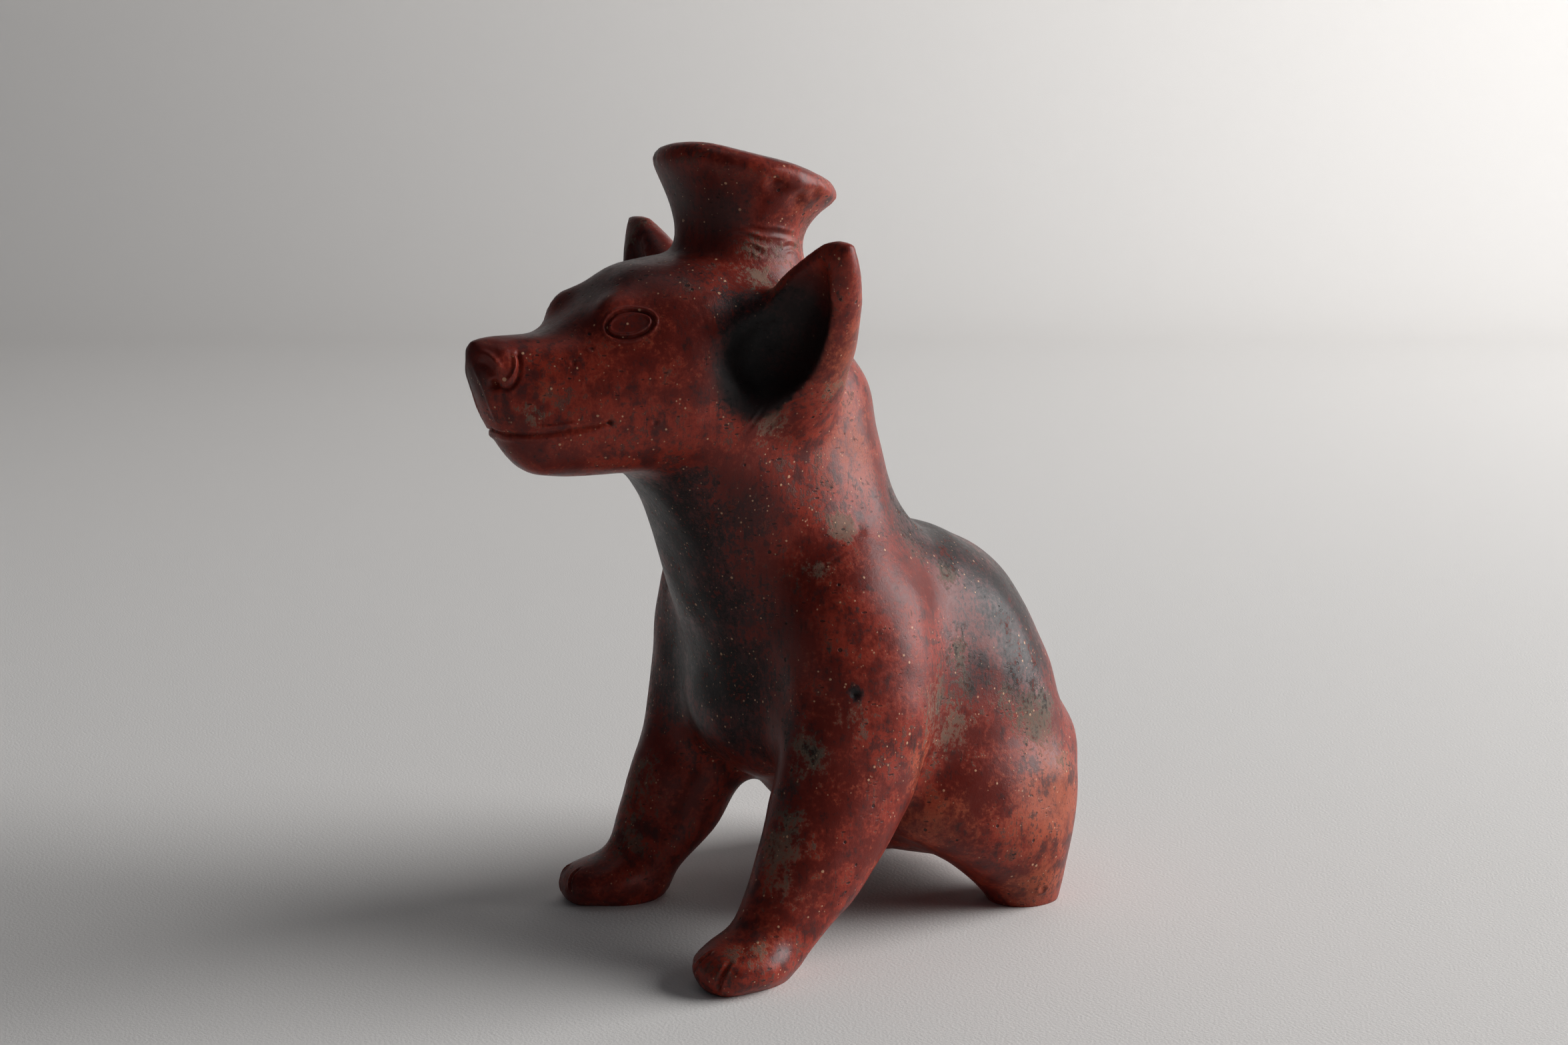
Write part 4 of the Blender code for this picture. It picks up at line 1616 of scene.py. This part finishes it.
def groove_darkening(points: np.ndarray, lines: list[tuple[Stroke, np.ndarray]]) -> np.ndarray:
    """Finds how much darker the slip is painted along the incised lines and in the holes at their ends.

    Args:
        points: The points to find it for.
        lines: The lines and their points on the surface.

    Returns:
        A number for each point.
    """
    dirt = np.zeros(len(points))
    for stroke, line in lines:
        gap, share = nearest(points, line, STROKE_REACH * stroke.width)
        held = stroke.darkened * stroke.strength(share) * np.exp(-((gap / stroke.width) ** 2))
        if stroke.end_hole:
            gap, _ = nearest(points, line[-1:], HOLE_REACH * stroke.end_hole)
            held = np.maximum(held, np.exp(-((gap / stroke.end_hole) ** 2)))
        dirt = np.maximum(dirt, held)
    return dirt


def ear_soot_and_shade(points: np.ndarray, out: np.ndarray, ear: Ear) -> np.ndarray:
    """Finds how black the hollows of the ears are painted, partly soot and partly painted shade, which
    grows from the tip down.

    Args:
        points: The points to find it for.
        out: The outward direction at each.
        ear: The ear.

    Returns:
        A number for each point.
    """
    at_tip, at_cheek = -0.1, 2.4
    spread = 1.4
    black = np.zeros(len(points))
    for side in Side:
        path = ear.hollow_path(side, 0.002)
        depths = np.clip(np.linspace(at_tip, at_cheek, len(path)), 0, 1)
        for (*centre, radius), depth in zip(path, depths):
            inward = np.array(centre) - points
            away = np.linalg.norm(inward, axis=1)
            faces_in = np.clip(0.2 + 1.6 * (inward * out).sum(1) / away, 0, 1)
            black = np.maximum(black, depth * faces_in * np.clip((spread - away / radius) * 2, 0, 1))
    return black


def stain_and_shade(dog: Thing, lines: list[tuple[Stroke, np.ndarray]], ear: Ear) -> None:
    """Writes each layer of stains and painted shade into the mesh.

    Args:
        dog: The object.
        lines: The incised lines and their points on the surface.
        ear: The ear, whose hollow is painted black, partly soot and partly painted shade.
    """
    points = points_of(dog.data)
    layers = {
        kind: np.max([patch.over(points) for patch in patches], axis=0) for kind, patches in PATCHES.items()
    }
    layers[StainAndShade.GROOVE] = groove_darkening(points, lines)
    layers[StainAndShade.EAR_SOOT_AND_SHADE] = ear_soot_and_shade(points, normals_of(dog.data), ear)
    for kind, values in layers.items():
        layer = dog.data.attributes.new(kind.value, "FLOAT", "POINT")
        layer.data.foreach_set("value", values.astype(np.float32))


@dataclass(frozen=True)
class Lamp:
    """A soft square light.

    Attributes:
        name: Its name.
        place: How far right of the vessel, behind it and above the floor it is, as the camera sees it.
        size: The length of its sides.
        watts: Its power.
        aimed: What it faces, in the same terms as its place.
    """

    name: str
    place: Place
    size: float
    watts: float
    aimed: Place = (0.0, 0.0, 0.12)


@dataclass(frozen=True)
class Studio:
    """The pale room, its soft lights and the camera."""

    eye: Place = (0.6572, -0.4600, 0.2800)
    heading: float = 56.0
    pitch: float = 9.5
    lens: float = 50.0
    film: float = 36.0
    floor_near: float = 1.5
    floor_far: float = 2.6
    half_width: float = 4.0
    wall_height: float = 3.0
    wall_bend: float = 0.8
    bend_steps: int = 12
    lamps: tuple[Lamp, ...] = (
        Lamp("window", (2.90, 0.30, 1.22), 2.44, 158.0),
        Lamp("top", (0.0, 0.2, 2.4), 1.5, 3.0),
        Lamp("wall_wash", (2.4, 1.9, 1.8), 1.2, 38.0, (0.4, 4.8, 1.7)),
    )
    sky: Row = (0.85, 0.90, 1.0, 1.0)
    sky_strength: float = 0.05
    cloth: PaleCloth = PaleCloth()

    def away(self) -> np.ndarray:
        """The level direction in which the camera looks."""
        angle = math.radians(self.heading)
        return np.array([-math.sin(angle), math.cos(angle), 0.0])

    def across(self) -> np.ndarray:
        """The direction to the right of the picture."""
        angle = math.radians(self.heading)
        return np.array([math.cos(angle), math.sin(angle), 0.0])

    def seen(self, right: float, ahead: float, up: float) -> Vector:
        """A place so far right of the vessel, behind it and above the floor, as the camera sees it."""
        return Vector(self.across() * right + self.away() * ahead + np.array([0, 0, up]))

    def backdrop(self) -> Thing:
        """A floor that bends up into a wall behind the vessel."""
        outline = [(-self.floor_near, 0.0), (self.floor_far, 0.0)]
        for i in range(1, self.bend_steps + 1):
            turn = math.pi / 2 * i / self.bend_steps
            outline.append(
                (self.floor_far + self.wall_bend * math.sin(turn), self.wall_bend * (1 - math.cos(turn)))
            )
        outline.append((self.floor_far + self.wall_bend, self.wall_height))
        shape = bmesh.new()
        rows = []
        for along, up in outline:
            middle = self.away() * along + np.array([0, 0, up])
            rows.append([shape.verts.new(middle + self.across() * self.half_width * k) for k in (-1, 1)])
        for near, far in zip(rows, rows[1:]):
            shape.faces.new((near[0], near[1], far[1], far[0]))
        backdrop = thing_from("backdrop", shape)
        backdrop.data.shade_smooth()
        backdrop.data.materials.append(self.cloth.material())
        return backdrop

    def hang(self, lamp: Lamp) -> None:
        """Hangs a lamp in its place."""
        light = bpy.data.lights.new(lamp.name, "AREA")
        light.size = lamp.size
        light.energy = lamp.watts
        thing = bpy.data.objects.new(lamp.name, light)
        bpy.context.scene.collection.objects.link(thing)
        place, target = self.seen(*lamp.place), self.seen(*lamp.aimed)
        thing.location = place
        thing.rotation_euler = (target - place).to_track_quat("-Z", "Y").to_euler()

    def lights(self) -> None:
        """A window on the right, a weak top light, a light for the wall, and a dim sky."""
        for lamp in self.lamps:
            self.hang(lamp)
        world = bpy.data.worlds.new("room")
        world.use_nodes = True
        background = world.node_tree.nodes["Background"]
        background.inputs["Color"].default_value = self.sky
        background.inputs["Strength"].default_value = self.sky_strength
        bpy.context.scene.world = world

    def camera(self, offset: Vector) -> None:
        """Sets the camera where the photograph was taken from.

        Args:
            offset: How far the vessel was moved from the potter's frame.
        """
        lens = bpy.data.cameras.new("camera")
        lens.lens = self.lens
        lens.sensor_width = self.film
        camera = bpy.data.objects.new("camera", lens)
        bpy.context.scene.collection.objects.link(camera)
        camera.location = Vector(self.eye) + offset
        camera.rotation_euler = (math.radians(90 - self.pitch), 0, math.radians(self.heading))
        bpy.context.scene.camera = camera
        bpy.context.scene.view_settings.view_transform = "Standard"


def box_of(thing: Thing) -> tuple[np.ndarray, np.ndarray]:
    """The lowest and highest corners of an object's mesh."""
    points = points_of(thing.data)
    return points.min(0), points.max(0)


def main() -> None:
    """Builds the vessel and the studio round it."""
    logging.basicConfig(level=logging.INFO, format="%(message)s")
    dog = Vessel().build()
    low, high = (np.array(corner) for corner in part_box(CAD_NODE))
    own_low, own_high = box_of(dog)
    offset = Vector(((low + high) / 2 - (own_low + own_high) / 2) * (1, 1, 0))
    place_points(dog.data, points_of(dog.data) + np.array(offset))
    dog.data.materials.clear()
    dog.data.materials.append(BurnishedSlip().material())
    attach(dog, "root")
    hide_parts(CAD_NODE)
    log.info("vessel: %d faces, offset %s", len(dog.data.polygons), tuple(offset))
    studio = Studio()
    studio.backdrop()
    studio.lights()
    studio.camera(offset)
    log.info("studio: backdrop, lights and camera")


if __name__ == "__main__":
    main()
